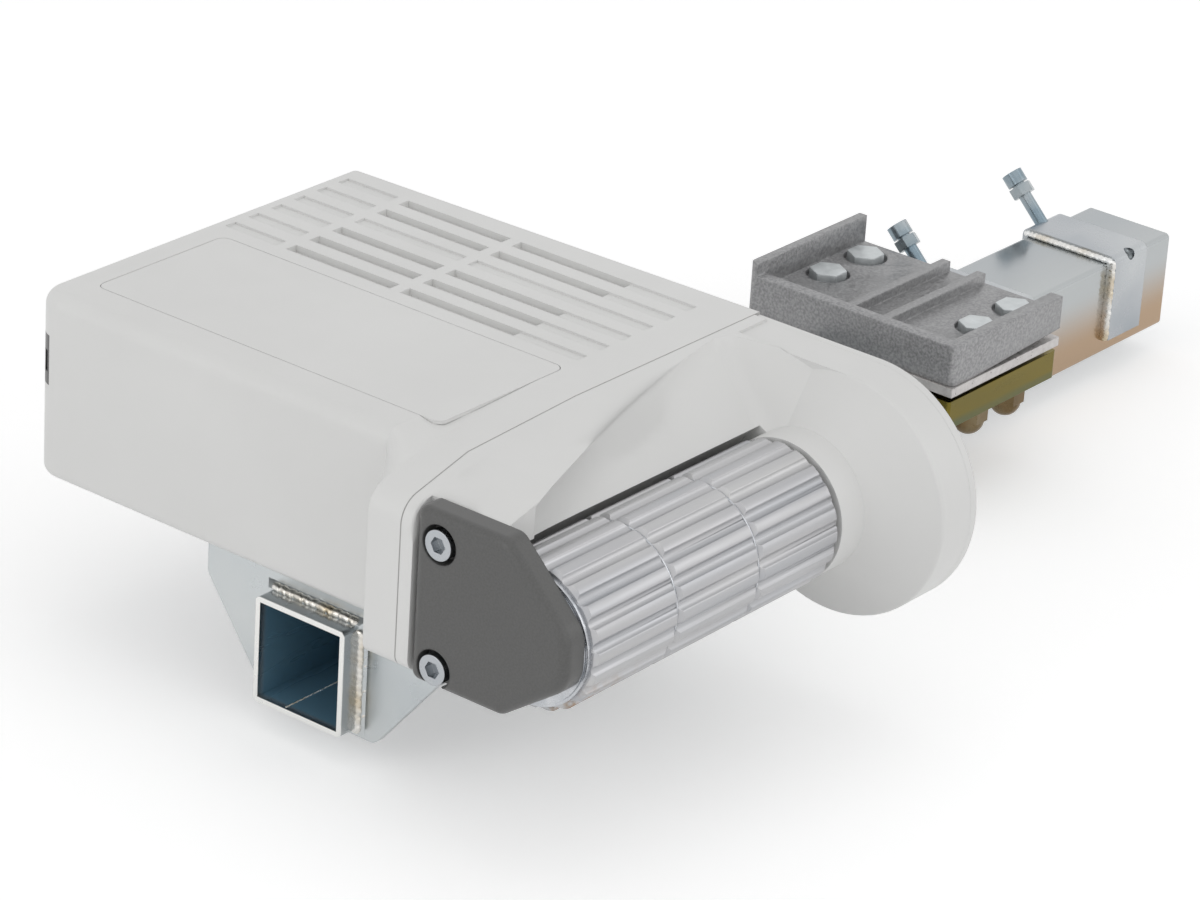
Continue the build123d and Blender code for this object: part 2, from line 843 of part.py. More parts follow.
# Front cover
def case_outline(inset):
    """Round gear case with straight walls back to the housing, seen from the side."""
    radius = case_radius - inset
    low = (-seam_front, bottom_z + inset)
    reach = math.hypot(low[0] - case_y, low[1] - case_z)
    turn = math.atan2(low[1] - case_z, low[0] - case_y) - math.acos(radius / reach)
    tangent_point = (case_y + radius * math.cos(turn), case_z + radius * math.sin(turn))
    with BuildSketch(Plane.XY) as outline:
        with BuildLine():
            Polyline(
                (case_y, case_z + radius), (-seam_front, case_z + radius), low, tangent_point
            )
            ThreePointArc(tangent_point, (case_y - radius, case_z), (case_y, case_z + radius))
        make_face()
    return outline.sketch


flange_slope = math.tan(flange_rise)
cheek_top_z = axis_z + knee_top - flange_slope * (knee_x + bracket_face - bracket_depth)


def cover_point(place):
    """Point of the front cover given from the tube's wheel end and middle."""
    return Vector(near_x + place[0], -place[1], axis_z + place[2])


def cover_plane(first, second, third):
    """Plane through three points of the front cover."""
    start = cover_point(first)
    normal = (cover_point(second) - start).cross(cover_point(third) - start)
    return Plane(origin=start, z_dir=normal)


fairing_plane = cover_plane(fairing_foot, fairing_nose, fairing_top)
with BuildPart() as scoop:
    with BuildSketch(Plane.YZ.offset(near_x)):
        with BuildLine():
            Polyline(
                (-seam_front, top_z),
                (-seam_front - 2 * cheek_front, top_z - 2 * cheek_front * scoop_fall),
                (-seam_front - 2 * cheek_front, top_z + overrun),
                (-seam_front, top_z + overrun),
                close=True,
            )
        make_face()
    extrude(amount=case_start + overrun)
    split(bisect_by=cover_plane(cheek_line, cheek_foot, cheek_run), keep=Keep.TOP)
    fillet(scoop.edges().sort_by_distance(cover_point(cheek_foot))[0], scoop_blend)
    split(bisect_by=fairing_plane, keep=Keep.TOP)
    fillet(scoop.edges().sort_by_distance(cover_point(fairing_foot))[0], fairing_blend)

# Wedge between the scoop and the dished face of the gear case
with BuildPart() as fairing:
    with BuildSketch(Plane.YZ.offset(near_x + boss_start)):
        with BuildLine():
            Polyline(
                (-seam_front - strip_width, case_z),
                (-seam_front - strip_width, case_z + case_radius),
                (case_y, case_z + case_radius),
                (-fairing_nose[1], axis_z + fairing_nose[2]),
                (roller_y, case_z),
                close=True,
            )
        make_face()
    extrude(amount=case_start - boss_start)
    split(bisect_by=fairing_plane, keep=Keep.BOTTOM)
    dish_edge = Vector(near_x + case_start, case_y, case_z + case_radius)
    dish_foot = Vector(near_x + boss_shoulder, case_y, roller_z + boss_radius)
    dish_normal = (dish_edge - dish_foot).cross(Vector(0, 1, 0))
    split(bisect_by=Plane(origin=dish_edge, z_dir=dish_normal), keep=Keep.BOTTOM)

# Gear case and its dished face, with a soft rim
with BuildPart() as gear_case:
    with BuildSketch(Plane.YZ.offset(case_x)):
        add(case_outline(0))
    extrude(amount=lid_x - case_x)
    with BuildSketch(Plane.YZ.offset(near_x + boss_shoulder)):
        with Locations((roller_y, roller_z)):
            Circle(boss_radius)
    with BuildSketch(Plane.YZ.offset(case_x)):
        with Locations((case_y, case_z)):
            Circle(case_radius)
    loft()
    rims = [edge for edge in gear_case.edges() if abs(edge.center().X - case_x) < fit]
    fillet(min(rims, key=lambda edge: edge.center().Y), case_rim)

with BuildPart() as front_cover:
    with BuildSketch(Plane.XZ.offset(seam_front)):
        add(flange_outline)
        with BuildLine():
            Polyline(
                (near_x + level_x, bottom_z),
                (near_x + level_x, top_z),
                (unit_right, top_z),
                (unit_right, bottom_z),
                close=True,
            )
        make_face()
    extrude(amount=strip_width)
    with BuildSketch(Plane.XZ.offset(seam_front + strip_width)):
        with BuildLine():
            Polyline(
                (bracket_back_x, bottom_z),
                (bracket_back_x, cheek_top_z),
                (near_x + knee_x, axis_z + knee_top),
                (near_x + level_x, top_z),
                (case_x, top_z),
                (case_x, bottom_z),
                close=True,
            )
        make_face()
    extrude(amount=cheek_front - seam_front - strip_width)
    add(scoop.part, mode=Mode.SUBTRACT)
    add(fairing.part)
    add(gear_case.part)
    with BuildSketch(Plane.YZ.offset(lid_x)):
        with Locations((-seam_front, top_z)):
            Rectangle(tube_size, 2 * unit_top)
    extrude(amount=case_lid + overrun, mode=Mode.SUBTRACT)
    # Pocket for the roller
    with BuildSketch(Plane.YZ.offset(near_x - flange_reach)):
        with Locations((roller_y, roller_z)):
            Circle(pocket_radius)
    extrude(amount=pocket_right + flange_reach, mode=Mode.SUBTRACT)
    with BuildSketch(Plane.YZ.offset(near_x + boss_start)):
        with Locations((roller_y, roller_z)):
            Circle(boss_radius)
    extrude(amount=boss_shoulder - boss_start)
    # Hollow behind the pocket, and room for the arm behind the end bracket
    with BuildSketch(Plane.YZ.offset(arm_x + arm_width)):
        with BuildLine():
            Polyline(
                (-seam_front, bottom_z),
                (-seam_front, axis_z + hollow_top),
                (-seam_front - hollow_level, axis_z + hollow_top),
                (
                    -arm_front - shell_wall,
                    axis_z + hollow_top - (arm_front + shell_wall - seam_front - hollow_level) * scoop_fall,
                ),
                (-arm_front - shell_wall, bottom_z),
                close=True,
            )
        make_face()
        with Locations((roller_y, roller_z)):
            Circle(pocket_radius + shell_wall, mode=Mode.SUBTRACT)
    extrude(amount=case_x + shell_wall - arm_x - arm_width, mode=Mode.SUBTRACT)
    with BuildSketch(Plane.YZ.offset(arm_x)):
        with BuildLine():
            Polyline(
                (-seam_front, bottom_z),
                (-seam_front, axis_z + arm_top + arm_clearance),
                (-arm_front - arm_clearance, axis_z + arm_top + arm_clearance),
                (-arm_front - arm_clearance, bottom_z),
                close=True,
            )
        make_face()
        with Locations((roller_y, roller_z)):
            Circle(pocket_radius + shell_wall, mode=Mode.SUBTRACT)
    extrude(amount=arm_width + arm_clearance, mode=Mode.SUBTRACT)
    # Room for the gears and the bearing carrier
    with BuildSketch(Plane.YZ.offset(case_x + shell_wall)):
        add(case_outline(shell_wall))
    extrude(amount=lid_x - case_x - shell_wall, mode=Mode.SUBTRACT)
    with BuildSketch(Plane.YZ.offset(near_x + boss_start)):
        with Locations((roller_y, roller_z)):
            Circle(shaft_radius + pocket_clearance)
    extrude(amount=pocket_right - boss_start, mode=Mode.SUBTRACT)
    with BuildSketch(Plane.YZ.offset(near_x + pocket_right)):
        with Locations((roller_y, roller_z)):
            Circle(gear_bearing_radius + fit)
    extrude(amount=case_x + shell_wall - near_x - pocket_right, mode=Mode.SUBTRACT)
    # Screw holes for the end bracket
    with BuildSketch(Plane.YZ.offset(bracket_back_x)):
        with Locations((-screw_front, axis_z + screw_high), (-screw_front, axis_z + screw_low)):
            Circle(screw_diameter / 2 + fit)
    extrude(amount=shell_wall, mode=Mode.SUBTRACT)
save(front_cover.part, "front_cover")

# Centres of the gear train, from the roller's shaft back to the motor
second_distance = (final_teeth + second_pinion_teeth) * coarse_module / 2
first_distance = (second_teeth + first_pinion_teeth) * fine_module / 2
motor_distance = (first_teeth + motor_teeth) * fine_module / 2


def along_line(centre, distance, angle):
    turn = math.radians(angle)
    return (centre[0] + distance * math.cos(turn), centre[1] + distance * math.sin(turn))


roller_centre = (roller_y, roller_z)
second_centre = along_line(roller_centre, second_distance, second_angle)
first_centre = along_line(second_centre, first_distance, first_angle)
motor_centre = along_line(first_centre, motor_distance, motor_angle)

with BuildPart() as gear_lid:
    with BuildSketch(Plane.YZ.offset(lid_x)):
        add(case_outline(0))
    extrude(amount=case_lid)
    with BuildSketch(Plane.YZ.offset(lid_x)):
        with Locations(second_centre):
            Circle(pinion_shaft_radius + fit)
    extrude(amount=case_lid / 2, mode=Mode.SUBTRACT)
save(gear_lid.part, "gear_lid")


def gear_points(teeth, module, tooth_at):
    """Outline of a spur gear with a tooth centred at the given angle, in degrees."""
    pitch_radius = teeth * module / 2
    base_radius = pitch_radius * math.cos(math.radians(flank_angle))
    tip_radius = pitch_radius + tip_share * module
    root_radius = pitch_radius - root_share * module
    flank_start = max(base_radius, root_radius)
    half_pitch_angle = math.pi / teeth / 2 - backlash / 2 / pitch_radius

    def involute(angle):
        return math.tan(angle) - angle

    def half_angle(radius):
        pressure = math.acos(min(1, base_radius / radius))
        return half_pitch_angle + involute(math.radians(flank_angle)) - involute(pressure)

    flank = [(radius, half_angle(radius)) for radius in (flank_start, pitch_radius, tip_radius)]
    if root_radius < base_radius:
        flank = [(root_radius, half_angle(flank_start))] + flank
    outline = []
    for tooth in range(teeth):
        middle = math.radians(tooth_at) + tooth * 2 * math.pi / teeth
        for radius, half in flank:
            outline.append((radius * math.cos(middle - half), radius * math.sin(middle - half)))
        for radius, half in reversed(flank):
            outline.append((radius * math.cos(middle + half), radius * math.sin(middle + half)))
    return outline


def spur_gear(centre, teeth, module, tooth_at):
    """Gear outline on its centre, to be added to a sketch seen along X."""
    with BuildSketch(Plane.XY) as outline:
        with BuildLine():
            points = gear_points(teeth, module, tooth_at)
            Polyline(*[(centre[0] + y, centre[1] + z) for y, z in points], close=True)
        make_face()
    return outline.sketch


def gap_towards(angle, teeth):
    """Angle of a tooth when a gap faces back along the centre line."""
    return angle + 180 + 180 / teeth


# Roller: shaft, three ribbed sections, rings between them, end disc and final gear
section_stations = [roller_x + i * (section_length + ring_width) for i in range(3)]
rib_step = 2 * math.pi / rib_count
crest_half = rib_step * crest_share / 2


def polar(radius, angle):
    return (roller_y + radius * math.cos(angle), roller_z + radius * math.sin(angle))


def roller_section(start_x):
    """Ribbed aluminium sleeve, bevelled at both ends."""
    with BuildPart() as section:
        with BuildSketch(Plane.YZ.offset(start_x)):
            with BuildLine():
                for rib in range(rib_count):
                    middle = rib * rib_step
                    crest_start = polar(crest_edge_radius, middle - crest_half)
                    crest_end = polar(crest_edge_radius, middle + crest_half)
                    next_start = polar(crest_edge_radius, middle + rib_step - crest_half)
                    ThreePointArc(crest_start, polar(roller_radius, middle), crest_end)
                    ThreePointArc(crest_end, polar(valley_radius, middle + rib_step / 2), next_start)
            make_face()
            with Locations(roller_centre):
                Circle(shaft_radius + fit, mode=Mode.SUBTRACT)
        extrude(amount=section_length)
        for edge_x, inward in ((start_x, 1), (start_x + section_length, -1)):
            with BuildSketch(Plane.XY.offset(roller_z)):
                with BuildLine():
                    Polyline(
                        (edge_x, roller_y + roller_radius - section_chamfer),
                        (edge_x + inward * section_chamfer, roller_y + roller_radius),
                        (edge_x + inward * section_chamfer, roller_y + roller_radius + overrun),
                        (edge_x - inward * overrun, roller_y + roller_radius + overrun),
                        (edge_x - inward * overrun, roller_y + roller_radius - section_chamfer),
                        close=True,
                    )
                make_face()
            revolve(axis=Axis((0, roller_y, roller_z), (1, 0, 0)), mode=Mode.SUBTRACT)
    return section.part


for start_x, place in zip(section_stations, ("outboard", "middle", "inboard")):
    save(roller_section(start_x), "roller_section_" + place)

with BuildPart() as roller_rings:
    for station in section_stations[1:]:
        with BuildSketch(Plane.YZ.offset(station - ring_width)):
            with Locations(roller_centre):
                Circle(ring_radius)
                Circle(shaft_radius + fit, mode=Mode.SUBTRACT)
        extrude(amount=ring_width)
save(roller_rings.part, "roller_rings")

with BuildPart() as end_disc:
    with BuildSketch(Plane.YZ.offset(roller_x - disc_width)):
        with Locations(roller_centre):
            Circle(disc_radius)
            Circle(shaft_radius + fit, mode=Mode.SUBTRACT)
    extrude(amount=disc_width)
save(end_disc.part, "end_disc")

with BuildPart() as roller_shaft:
    with BuildSketch(Plane.YZ.offset(bracket_back_x - bearing_width)):
        with Locations(roller_centre):
            Circle(shaft_radius)
    extrude(amount=train_x + gear_face - bracket_back_x + bearing_width)
save(roller_shaft.part, "roller_shaft")

with BuildPart() as final_gear:
    with BuildSketch(Plane.YZ.offset(train_x)):
        add(spur_gear(roller_centre, final_teeth, coarse_module, second_angle))
        with Locations(roller_centre):
            Circle(shaft_radius + fit, mode=Mode.SUBTRACT)
    extrude(amount=gear_face)
save(final_gear.part, "final_gear")

# Second and first stages: each pinion is cut on its own shaft, and its gear sits on that shaft
shaft_start = case_x + shell_wall - hub_length
with BuildPart() as second_pinion:
    with BuildSketch(Plane.YZ.offset(train_x)):
        tooth_at = gap_towards(second_angle, second_pinion_teeth)
        add(spur_gear(second_centre, second_pinion_teeth, coarse_module, tooth_at))
    extrude(amount=gear_face)
    with BuildSketch(Plane.YZ.offset(shaft_start)):
        with Locations(second_centre):
            Circle(pinion_shaft_radius)
    extrude(amount=lid_x + case_lid / 2 - shaft_start - fit)
save(second_pinion.part, "second_pinion")

with BuildPart() as second_gear:
    with BuildSketch(Plane.YZ.offset(second_x)):
        add(spur_gear(second_centre, second_teeth, fine_module, first_angle))
        with Locations(second_centre):
            Circle(pinion_shaft_radius + fit, mode=Mode.SUBTRACT)
    extrude(amount=gear_face - gear_gap / 2)
save(second_gear.part, "second_gear")

with BuildPart() as first_pinion:
    with BuildSketch(Plane.YZ.offset(second_x)):
        tooth_at = gap_towards(first_angle, first_pinion_teeth)
        add(spur_gear(first_centre, first_pinion_teeth, fine_module, tooth_at))
    extrude(amount=gear_face - gear_gap / 2)
    with BuildSketch(Plane.YZ.offset(shaft_start)):
        with Locations(first_centre):
            Circle(pinion_shaft_radius)
    extrude(amount=second_x - shaft_start)
save(first_pinion.part, "first_pinion")

with BuildPart() as first_gear:
    with BuildSketch(Plane.YZ.offset(train_x)):
        add(spur_gear(first_centre, first_teeth, fine_module, motor_angle))
        with Locations(first_centre):
            Circle(pinion_shaft_radius + fit, mode=Mode.SUBTRACT)
    extrude(amount=gear_face)
save(first_gear.part, "first_gear")

motor_face_x = case_x + shell_wall
with BuildPart() as motor_pinion:
    with BuildSketch(Plane.YZ.offset(train_x)):
        add(spur_gear(motor_centre, motor_teeth, fine_module, gap_towards(motor_angle, motor_teeth)))
    extrude(amount=gear_face)
    with BuildSketch(Plane.YZ.offset(motor_face_x - motor_bore_depth)):
        with Locations(motor_centre):
            Circle(motor_shaft_radius)
    extrude(amount=train_x - motor_face_x + motor_bore_depth)
save(motor_pinion.part, "motor_pinion")

# Plate that carries the bearings and the motor
with BuildPart() as gearbox_plate:
    with BuildSketch(Plane.YZ.offset(motor_face_x)):
        with Locations(roller_centre):
            Circle(gear_bearing_radius)
        with Locations(second_centre, first_centre, motor_centre):
            Circle(motor_radius)
        make_hull()
    extrude(amount=gear_plate)
    with BuildSketch(Plane.YZ.offset(near_x + bearing_start)):
        with Locations(roller_centre):
            Circle(gear_bearing_radius)
    extrude(amount=motor_face_x - near_x - bearing_start)
    with BuildSketch(Plane.YZ.offset(shaft_start)):
        with Locations(second_centre, first_centre):
            Circle(hub_radius)
    extrude(amount=hub_length)
    with BuildSketch(Plane.YZ.offset(shaft_start)):
        with Locations(second_centre, first_centre):
            Circle(pinion_shaft_radius + fit)
        with Locations(motor_centre):
            Circle(motor_shaft_radius + engage_gap)
    extrude(amount=hub_length + gear_plate, mode=Mode.SUBTRACT)
    with BuildSketch(Plane.YZ.offset(near_x + bearing_start)):
        with Locations(roller_centre):
            Circle(bearing_radius + fit)
    extrude(amount=bearing_width, mode=Mode.SUBTRACT)
    with BuildSketch(Plane.YZ.offset(near_x + bearing_start)):
        with Locations(roller_centre):
            Circle(bearing_ledge)
    extrude(amount=motor_face_x + gear_plate - near_x - bearing_start, mode=Mode.SUBTRACT)
save(gearbox_plate.part, "gearbox_plate")


def ball_bearing(start_x):
    """Sealed bearing as one ring."""
    with BuildPart() as bearing:
        with BuildSketch(Plane.YZ.offset(start_x)):
            with Locations(roller_centre):
                Circle(bearing_radius)
                Circle(shaft_radius + fit, mode=Mode.SUBTRACT)
        extrude(amount=bearing_width)
    return bearing.part


save(ball_bearing(bracket_back_x - bearing_width), "bearing_outboard")
save(ball_bearing(near_x + bearing_start), "bearing_inboard")

# Drive motor
motor_start_x = motor_face_x - motor_length
with BuildPart() as motor_can:
    with BuildSketch(Plane.YZ.offset(motor_start_x)):
        with Locations(motor_centre):
            Circle(motor_radius)
    extrude(amount=motor_length)
    with BuildSketch(Plane.YZ.offset(motor_face_x - motor_bore_depth)):
        with Locations(motor_centre):
            Circle(motor_shaft_radius + fit)
    extrude(amount=motor_bore_depth, mode=Mode.SUBTRACT)
save(motor_can.part, "motor_can")

with BuildPart() as motor_end_cap:
    with BuildSketch(Plane.YZ.offset(motor_start_x - motor_cap_length)):
        with Locations(motor_centre):
            Circle(motor_cap_radius)
    extrude(amount=motor_cap_length)
    fillet(motor_end_cap.faces().sort_by(Axis.X)[0].edges(), motor_cap_length / 4)
save(motor_end_cap.part, "motor_end_cap")

# End bracket
with BuildPart() as end_bracket:
    with BuildSketch(Plane.YZ.offset(near_x - bracket_face)):
        with BuildLine():
            FilletPolyline(
                (-bracket_rear, axis_z + bracket_bottom),
                (-bracket_foot, axis_z + bracket_bottom),
                (-bracket_nose, axis_z + nose_low),
                (-bracket_nose, axis_z + nose_high),
                (-bracket_brow, axis_z + bracket_top),
                (-bracket_rear, axis_z + bracket_top),
                radius=(bracket_edge, bracket_corner, nose_corner, nose_corner, bracket_corner, bracket_edge),
                close=True,
            )
        make_face()
    extrude(amount=bracket_depth)
    fillet(end_bracket.faces().sort_by(Axis.X)[0].edges(), bracket_edge - fit)
    with BuildSketch(Plane.YZ.offset(near_x - bracket_face)):
        with Locations((-screw_front, axis_z + screw_high), (-screw_front, axis_z + screw_low)):
            Circle(recess_radius)
    extrude(amount=recess_depth, mode=Mode.SUBTRACT)
    with BuildSketch(Plane.YZ.offset(near_x - bracket_face)):
        with Locations((-screw_front, axis_z + screw_high), (-screw_front, axis_z + screw_low)):
            Circle(screw_diameter / 2 + fit)
    extrude(amount=bracket_depth, mode=Mode.SUBTRACT)
    with BuildSketch(Plane.YZ.offset(bracket_back_x)):
        with Locations(roller_centre):
            Circle(bearing_radius + fit)
    extrude(amount=-bearing_width, mode=Mode.SUBTRACT)
save(end_bracket.part, "end_bracket")

recess_x = near_x - bracket_face + recess_depth
with BuildPart() as bracket_screws:
    with BuildSketch(Plane.YZ.offset(recess_x)):
        with Locations((-screw_front, axis_z + screw_high), (-screw_front, axis_z + screw_low)):
            Circle(screw_head_diameter / 2)
    extrude(amount=-screw_head_height)
    with BuildSketch(Plane.YZ.offset(recess_x)):
        with Locations((-screw_front, axis_z + screw_high), (-screw_front, axis_z + screw_low)):
            Circle(screw_diameter / 2)
    extrude(amount=screw_length)
    with BuildSketch(Plane.YZ.offset(recess_x - screw_head_height)):
        with Locations((-screw_front, axis_z + screw_high), (-screw_front, axis_z + screw_low)):
            hexagon(socket_flats)
    extrude(amount=socket_depth, mode=Mode.SUBTRACT)
save(bracket_screws.part, "bracket_screws")

with BuildPart() as seal_ring:
    with BuildSketch(Plane.YZ.offset(bracket_back_x)):
        with Locations(roller_centre):
            Circle(seal_radius)
            Circle(seal_bore, mode=Mode.SUBTRACT)
    extrude(amount=seal_width)
save(seal_ring.part, "seal_ring")

# Frame inside the unit: tray, front beam, arm behind the end bracket and bush carriers
tray_left = unit_left + shell_wall
carrier_middle = -carrier_start + carrier_length / 2
with BuildPart() as drive_frame:
    with BuildSketch(Plane.XY.offset(axis_z + tray_height)):
        with BuildLine():
            Polyline(
                (tray_left, -beam_front + beam_thickness),
                (tray_left, unit_rear - rear_corner),
                (tray_left + rear_corner, unit_rear - shell_wall),
                (right_side(unit_rear) - shell_wall - rear_corner, unit_rear - shell_wall),
                (motor_face_x, -beam_front + beam_thickness),
                close=True,
            )
        make_face()
    extrude(amount=tray_thickness)
    with BuildSketch(Plane.XZ.offset(beam_front)):
        with BuildLine():
            Polyline(
                (arm_x + arm_width, axis_z + beam_bottom),
                (motor_face_x, axis_z + beam_bottom),
                (motor_face_x, axis_z + beam_top),
                (arm_x + arm_width, axis_z + beam_top),
                close=True,
            )
        make_face()
    extrude(amount=-beam_thickness)
    with BuildSketch(Plane.YZ.offset(arm_x)):
        with BuildLine():
            Polyline(
                (-arm_front, axis_z + beam_bottom),
                (-arm_rear, axis_z + beam_bottom),
                (-arm_rear, axis_z + arm_top),
                (-arm_front, axis_z + arm_top),
                close=True,
            )
        make_face()
        with Locations(roller_centre):
            Circle(pocket_radius + shell_wall + arm_clearance, mode=Mode.SUBTRACT)
        with Locations((-screw_front, axis_z + screw_high), (-screw_front, axis_z + screw_low)):
            Circle(screw_diameter / 2 + fit, mode=Mode.SUBTRACT)
    extrude(amount=arm_width)
    with BuildSketch(Plane.XY.offset(axis_z + carrier_bottom)):
        with Locations(*[(station, carrier_middle) for station in rod_stations]):
            Rectangle(carrier_width, carrier_length)
    extrude(amount=tray_height - carrier_bottom)
    with BuildSketch(Plane.XZ.offset(carrier_start)):
        with Locations(*[(station, rod_z) for station in rod_stations]):
            Circle(bush_radius + fit)
    extrude(amount=-carrier_length, mode=Mode.SUBTRACT)
save(drive_frame.part, "drive_frame")

with BuildPart() as linear_bushes:
    for front in (carrier_start, carrier_start - carrier_length + bush_length):
        with BuildSketch(Plane.XZ.offset(front)):
            with Locations(*[(station, rod_z) for station in rod_stations]):
                Circle(bush_radius)
                Circle(rod_diameter / 2 + fit, mode=Mode.SUBTRACT)
        extrude(amount=-bush_length)
save(linear_bushes.part, "linear_bushes")

# Rack on the tube, its pinion and the engaging gearmotor under the tray
rack_pitch = math.pi * fine_module
rack_x = near_x + rack_station
rack_line = rack_base + root_share * fine_module - fine_module
tooth_slope = math.tan(math.radians(flank_angle))
root_half = rack_pitch / 4 + root_share * fine_module * tooth_slope - backlash / 2
tip_half = rack_pitch / 4 - tip_share * fine_module * tooth_slope - backlash / 2
rack_points = []
for tooth in range(rack_teeth):
    tooth_y = pinion_rear + (2 - rack_teeth + 1 + tooth) * rack_pitch
    rack_points.append((tooth_y - root_half, rack_line - root_share * fine_module))
    rack_points.append((tooth_y - tip_half, rack_line + tip_share * fine_module))
    rack_points.append((tooth_y + tip_half, rack_line + tip_share * fine_module))
    rack_points.append((tooth_y + root_half, rack_line - root_share * fine_module))
with BuildPart() as engage_rack:
    with BuildSketch(Plane.YZ.offset(rack_x)):
        with BuildLine():
            Polyline(
                *rack_points, (rack_points[-1][0], 0), (rack_points[0][0], 0), close=True
            )
        make_face()
    extrude(amount=rack_width)
save(engage_rack.part, "engage_rack")

pinion_centre = (pinion_rear, rack_line + pinion_teeth * fine_module / 2)
engage_face_x = rack_x - engage_gap
with BuildPart() as engage_pinion:
    with BuildSketch(Plane.YZ.offset(rack_x)):
        add(spur_gear(pinion_centre, pinion_teeth, fine_module, gap_towards(90, pinion_teeth)))
    extrude(amount=rack_width)
    with BuildSketch(Plane.YZ.offset(engage_face_x - engage_bore_depth)):
        with Locations(pinion_centre):
            Circle(engage_shaft_radius)
    extrude(amount=rack_x - engage_face_x + engage_bore_depth)
save(engage_pinion.part, "engage_pinion")

with BuildPart() as engage_motor:
    with BuildSketch(Plane.YZ.offset(engage_face_x - engage_length)):
        with Locations(pinion_centre):
            Circle(engage_radius)
        with BuildLine():
            Polyline(
                (pinion_centre[0] - engage_radius, pinion_centre[1]),
                (pinion_centre[0] + engage_radius, pinion_centre[1]),
                (pinion_centre[0] + engage_radius, axis_z + tray_height),
                (pinion_centre[0] - engage_radius, axis_z + tray_height),
                close=True,
            )
        make_face()
    extrude(amount=engage_length)
    with BuildSketch(Plane.YZ.offset(engage_face_x - engage_bore_depth)):
        with Locations(pinion_centre):
            Circle(engage_shaft_radius + fit)
    extrude(amount=engage_bore_depth, mode=Mode.SUBTRACT)
save(engage_motor.part, "engage_motor")

# Control board with relays and a terminal block
tray_top_z = axis_z + tray_height + tray_thickness
board_z = tray_top_z + standoff_height
board_x = near_x + board_left + board_length / 2
board_y = board_front + board_width / 2
with BuildPart() as control_board:
    with BuildSketch(Plane.XY.offset(board_z)):
        with Locations((board_x, board_y)):
            Rectangle(board_length, board_width)
    extrude(amount=board_thickness)
    with BuildSketch(Plane.XY.offset(tray_top_z)):
        with Locations((board_x, board_y)):
            with GridLocations(board_length - 4 * standoff_radius, board_width - 4 * standoff_radius, 2, 2):
                Circle(standoff_radius)
    extrude(amount=standoff_height)
save(control_board.part, "control_board")

with BuildPart() as relays:
    with BuildSketch(Plane.XY.offset(board_z + board_thickness)):
        with Locations((board_x, board_y + board_width / 4)):
            with GridLocations(relay_size + terminal_gap, relay_size, 3, 1):
                Rectangle(relay_size, relay_size)
    extrude(amount=relay_height)
save(relays.part, "relays")

with BuildPart() as terminal_block:
    with BuildSketch(Plane.XY.offset(board_z + board_thickness)):
        with Locations((board_x, board_y - board_width / 4)):
            Rectangle(terminal_length, terminal_width)
    extrude(amount=terminal_height)
save(terminal_block.part, "terminal_block")
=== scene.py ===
import bpy
import json
import math
from mathutils import Matrix, Vector

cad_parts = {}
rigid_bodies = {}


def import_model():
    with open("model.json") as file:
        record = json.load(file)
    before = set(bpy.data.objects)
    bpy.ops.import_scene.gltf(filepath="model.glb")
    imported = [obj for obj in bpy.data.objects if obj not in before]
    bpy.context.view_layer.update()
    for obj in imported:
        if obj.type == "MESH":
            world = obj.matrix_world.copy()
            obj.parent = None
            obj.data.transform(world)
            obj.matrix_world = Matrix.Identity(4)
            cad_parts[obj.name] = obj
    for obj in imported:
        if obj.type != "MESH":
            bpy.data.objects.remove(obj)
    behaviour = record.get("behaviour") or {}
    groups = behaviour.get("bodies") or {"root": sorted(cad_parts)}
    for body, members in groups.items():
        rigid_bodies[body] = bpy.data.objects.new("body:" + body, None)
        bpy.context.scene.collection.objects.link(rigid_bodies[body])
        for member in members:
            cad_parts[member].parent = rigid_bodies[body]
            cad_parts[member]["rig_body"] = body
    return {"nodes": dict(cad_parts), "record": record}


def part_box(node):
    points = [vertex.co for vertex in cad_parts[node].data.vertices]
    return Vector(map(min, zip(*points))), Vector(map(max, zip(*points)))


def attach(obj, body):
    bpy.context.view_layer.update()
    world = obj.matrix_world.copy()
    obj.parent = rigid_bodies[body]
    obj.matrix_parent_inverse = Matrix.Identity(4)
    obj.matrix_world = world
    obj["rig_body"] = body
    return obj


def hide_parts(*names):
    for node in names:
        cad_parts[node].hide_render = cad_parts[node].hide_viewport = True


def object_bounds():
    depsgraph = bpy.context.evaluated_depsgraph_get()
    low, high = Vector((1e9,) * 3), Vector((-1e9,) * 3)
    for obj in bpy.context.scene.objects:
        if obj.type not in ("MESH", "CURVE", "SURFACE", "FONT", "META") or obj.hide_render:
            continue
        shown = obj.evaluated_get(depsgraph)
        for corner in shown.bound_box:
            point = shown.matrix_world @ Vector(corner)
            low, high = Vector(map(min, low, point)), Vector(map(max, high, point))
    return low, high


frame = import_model()
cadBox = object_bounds()
nodes = frame["nodes"]
print("frame loaded:", len(nodes), "nodes")


# The photograph's view

photoView = {  # angles in degrees, place in metres, lens and sensor in millimetres
    "azimuth": -52.617,
    "elevation": 24.902,
    "roll": 3.662,
    "place": (-2.20665, -1.47662, 1.14226),
    "lens": 149.68,
    "sensor": 36,
    "sightLimit": 50,
}


def addCamera(view):
    az, el, roll = (math.radians(view[k]) for k in ("azimuth", "elevation", "roll"))
    forward = Vector((-math.sin(az) * math.cos(el), math.cos(az) * math.cos(el), -math.sin(el)))
    right = forward.cross(Vector((0, 0, 1))).normalized()
    down = forward.cross(right).normalized()
    turnedRight = right * math.cos(roll) - down * math.sin(roll)
    turnedDown = right * math.sin(roll) + down * math.cos(roll)
    data = bpy.data.cameras.new("photoCamera")
    data.lens = view["lens"]
    data.sensor_width = view["sensor"]
    data.clip_end = view["sightLimit"]
    camera = bpy.data.objects.new("photoCamera", data)
    turn = Matrix((turnedRight, -turnedDown, -forward)).transposed().to_4x4()
    camera.matrix_world = Matrix.Translation(view["place"]) @ turn
    bpy.context.collection.objects.link(camera)
    bpy.context.scene.camera = camera


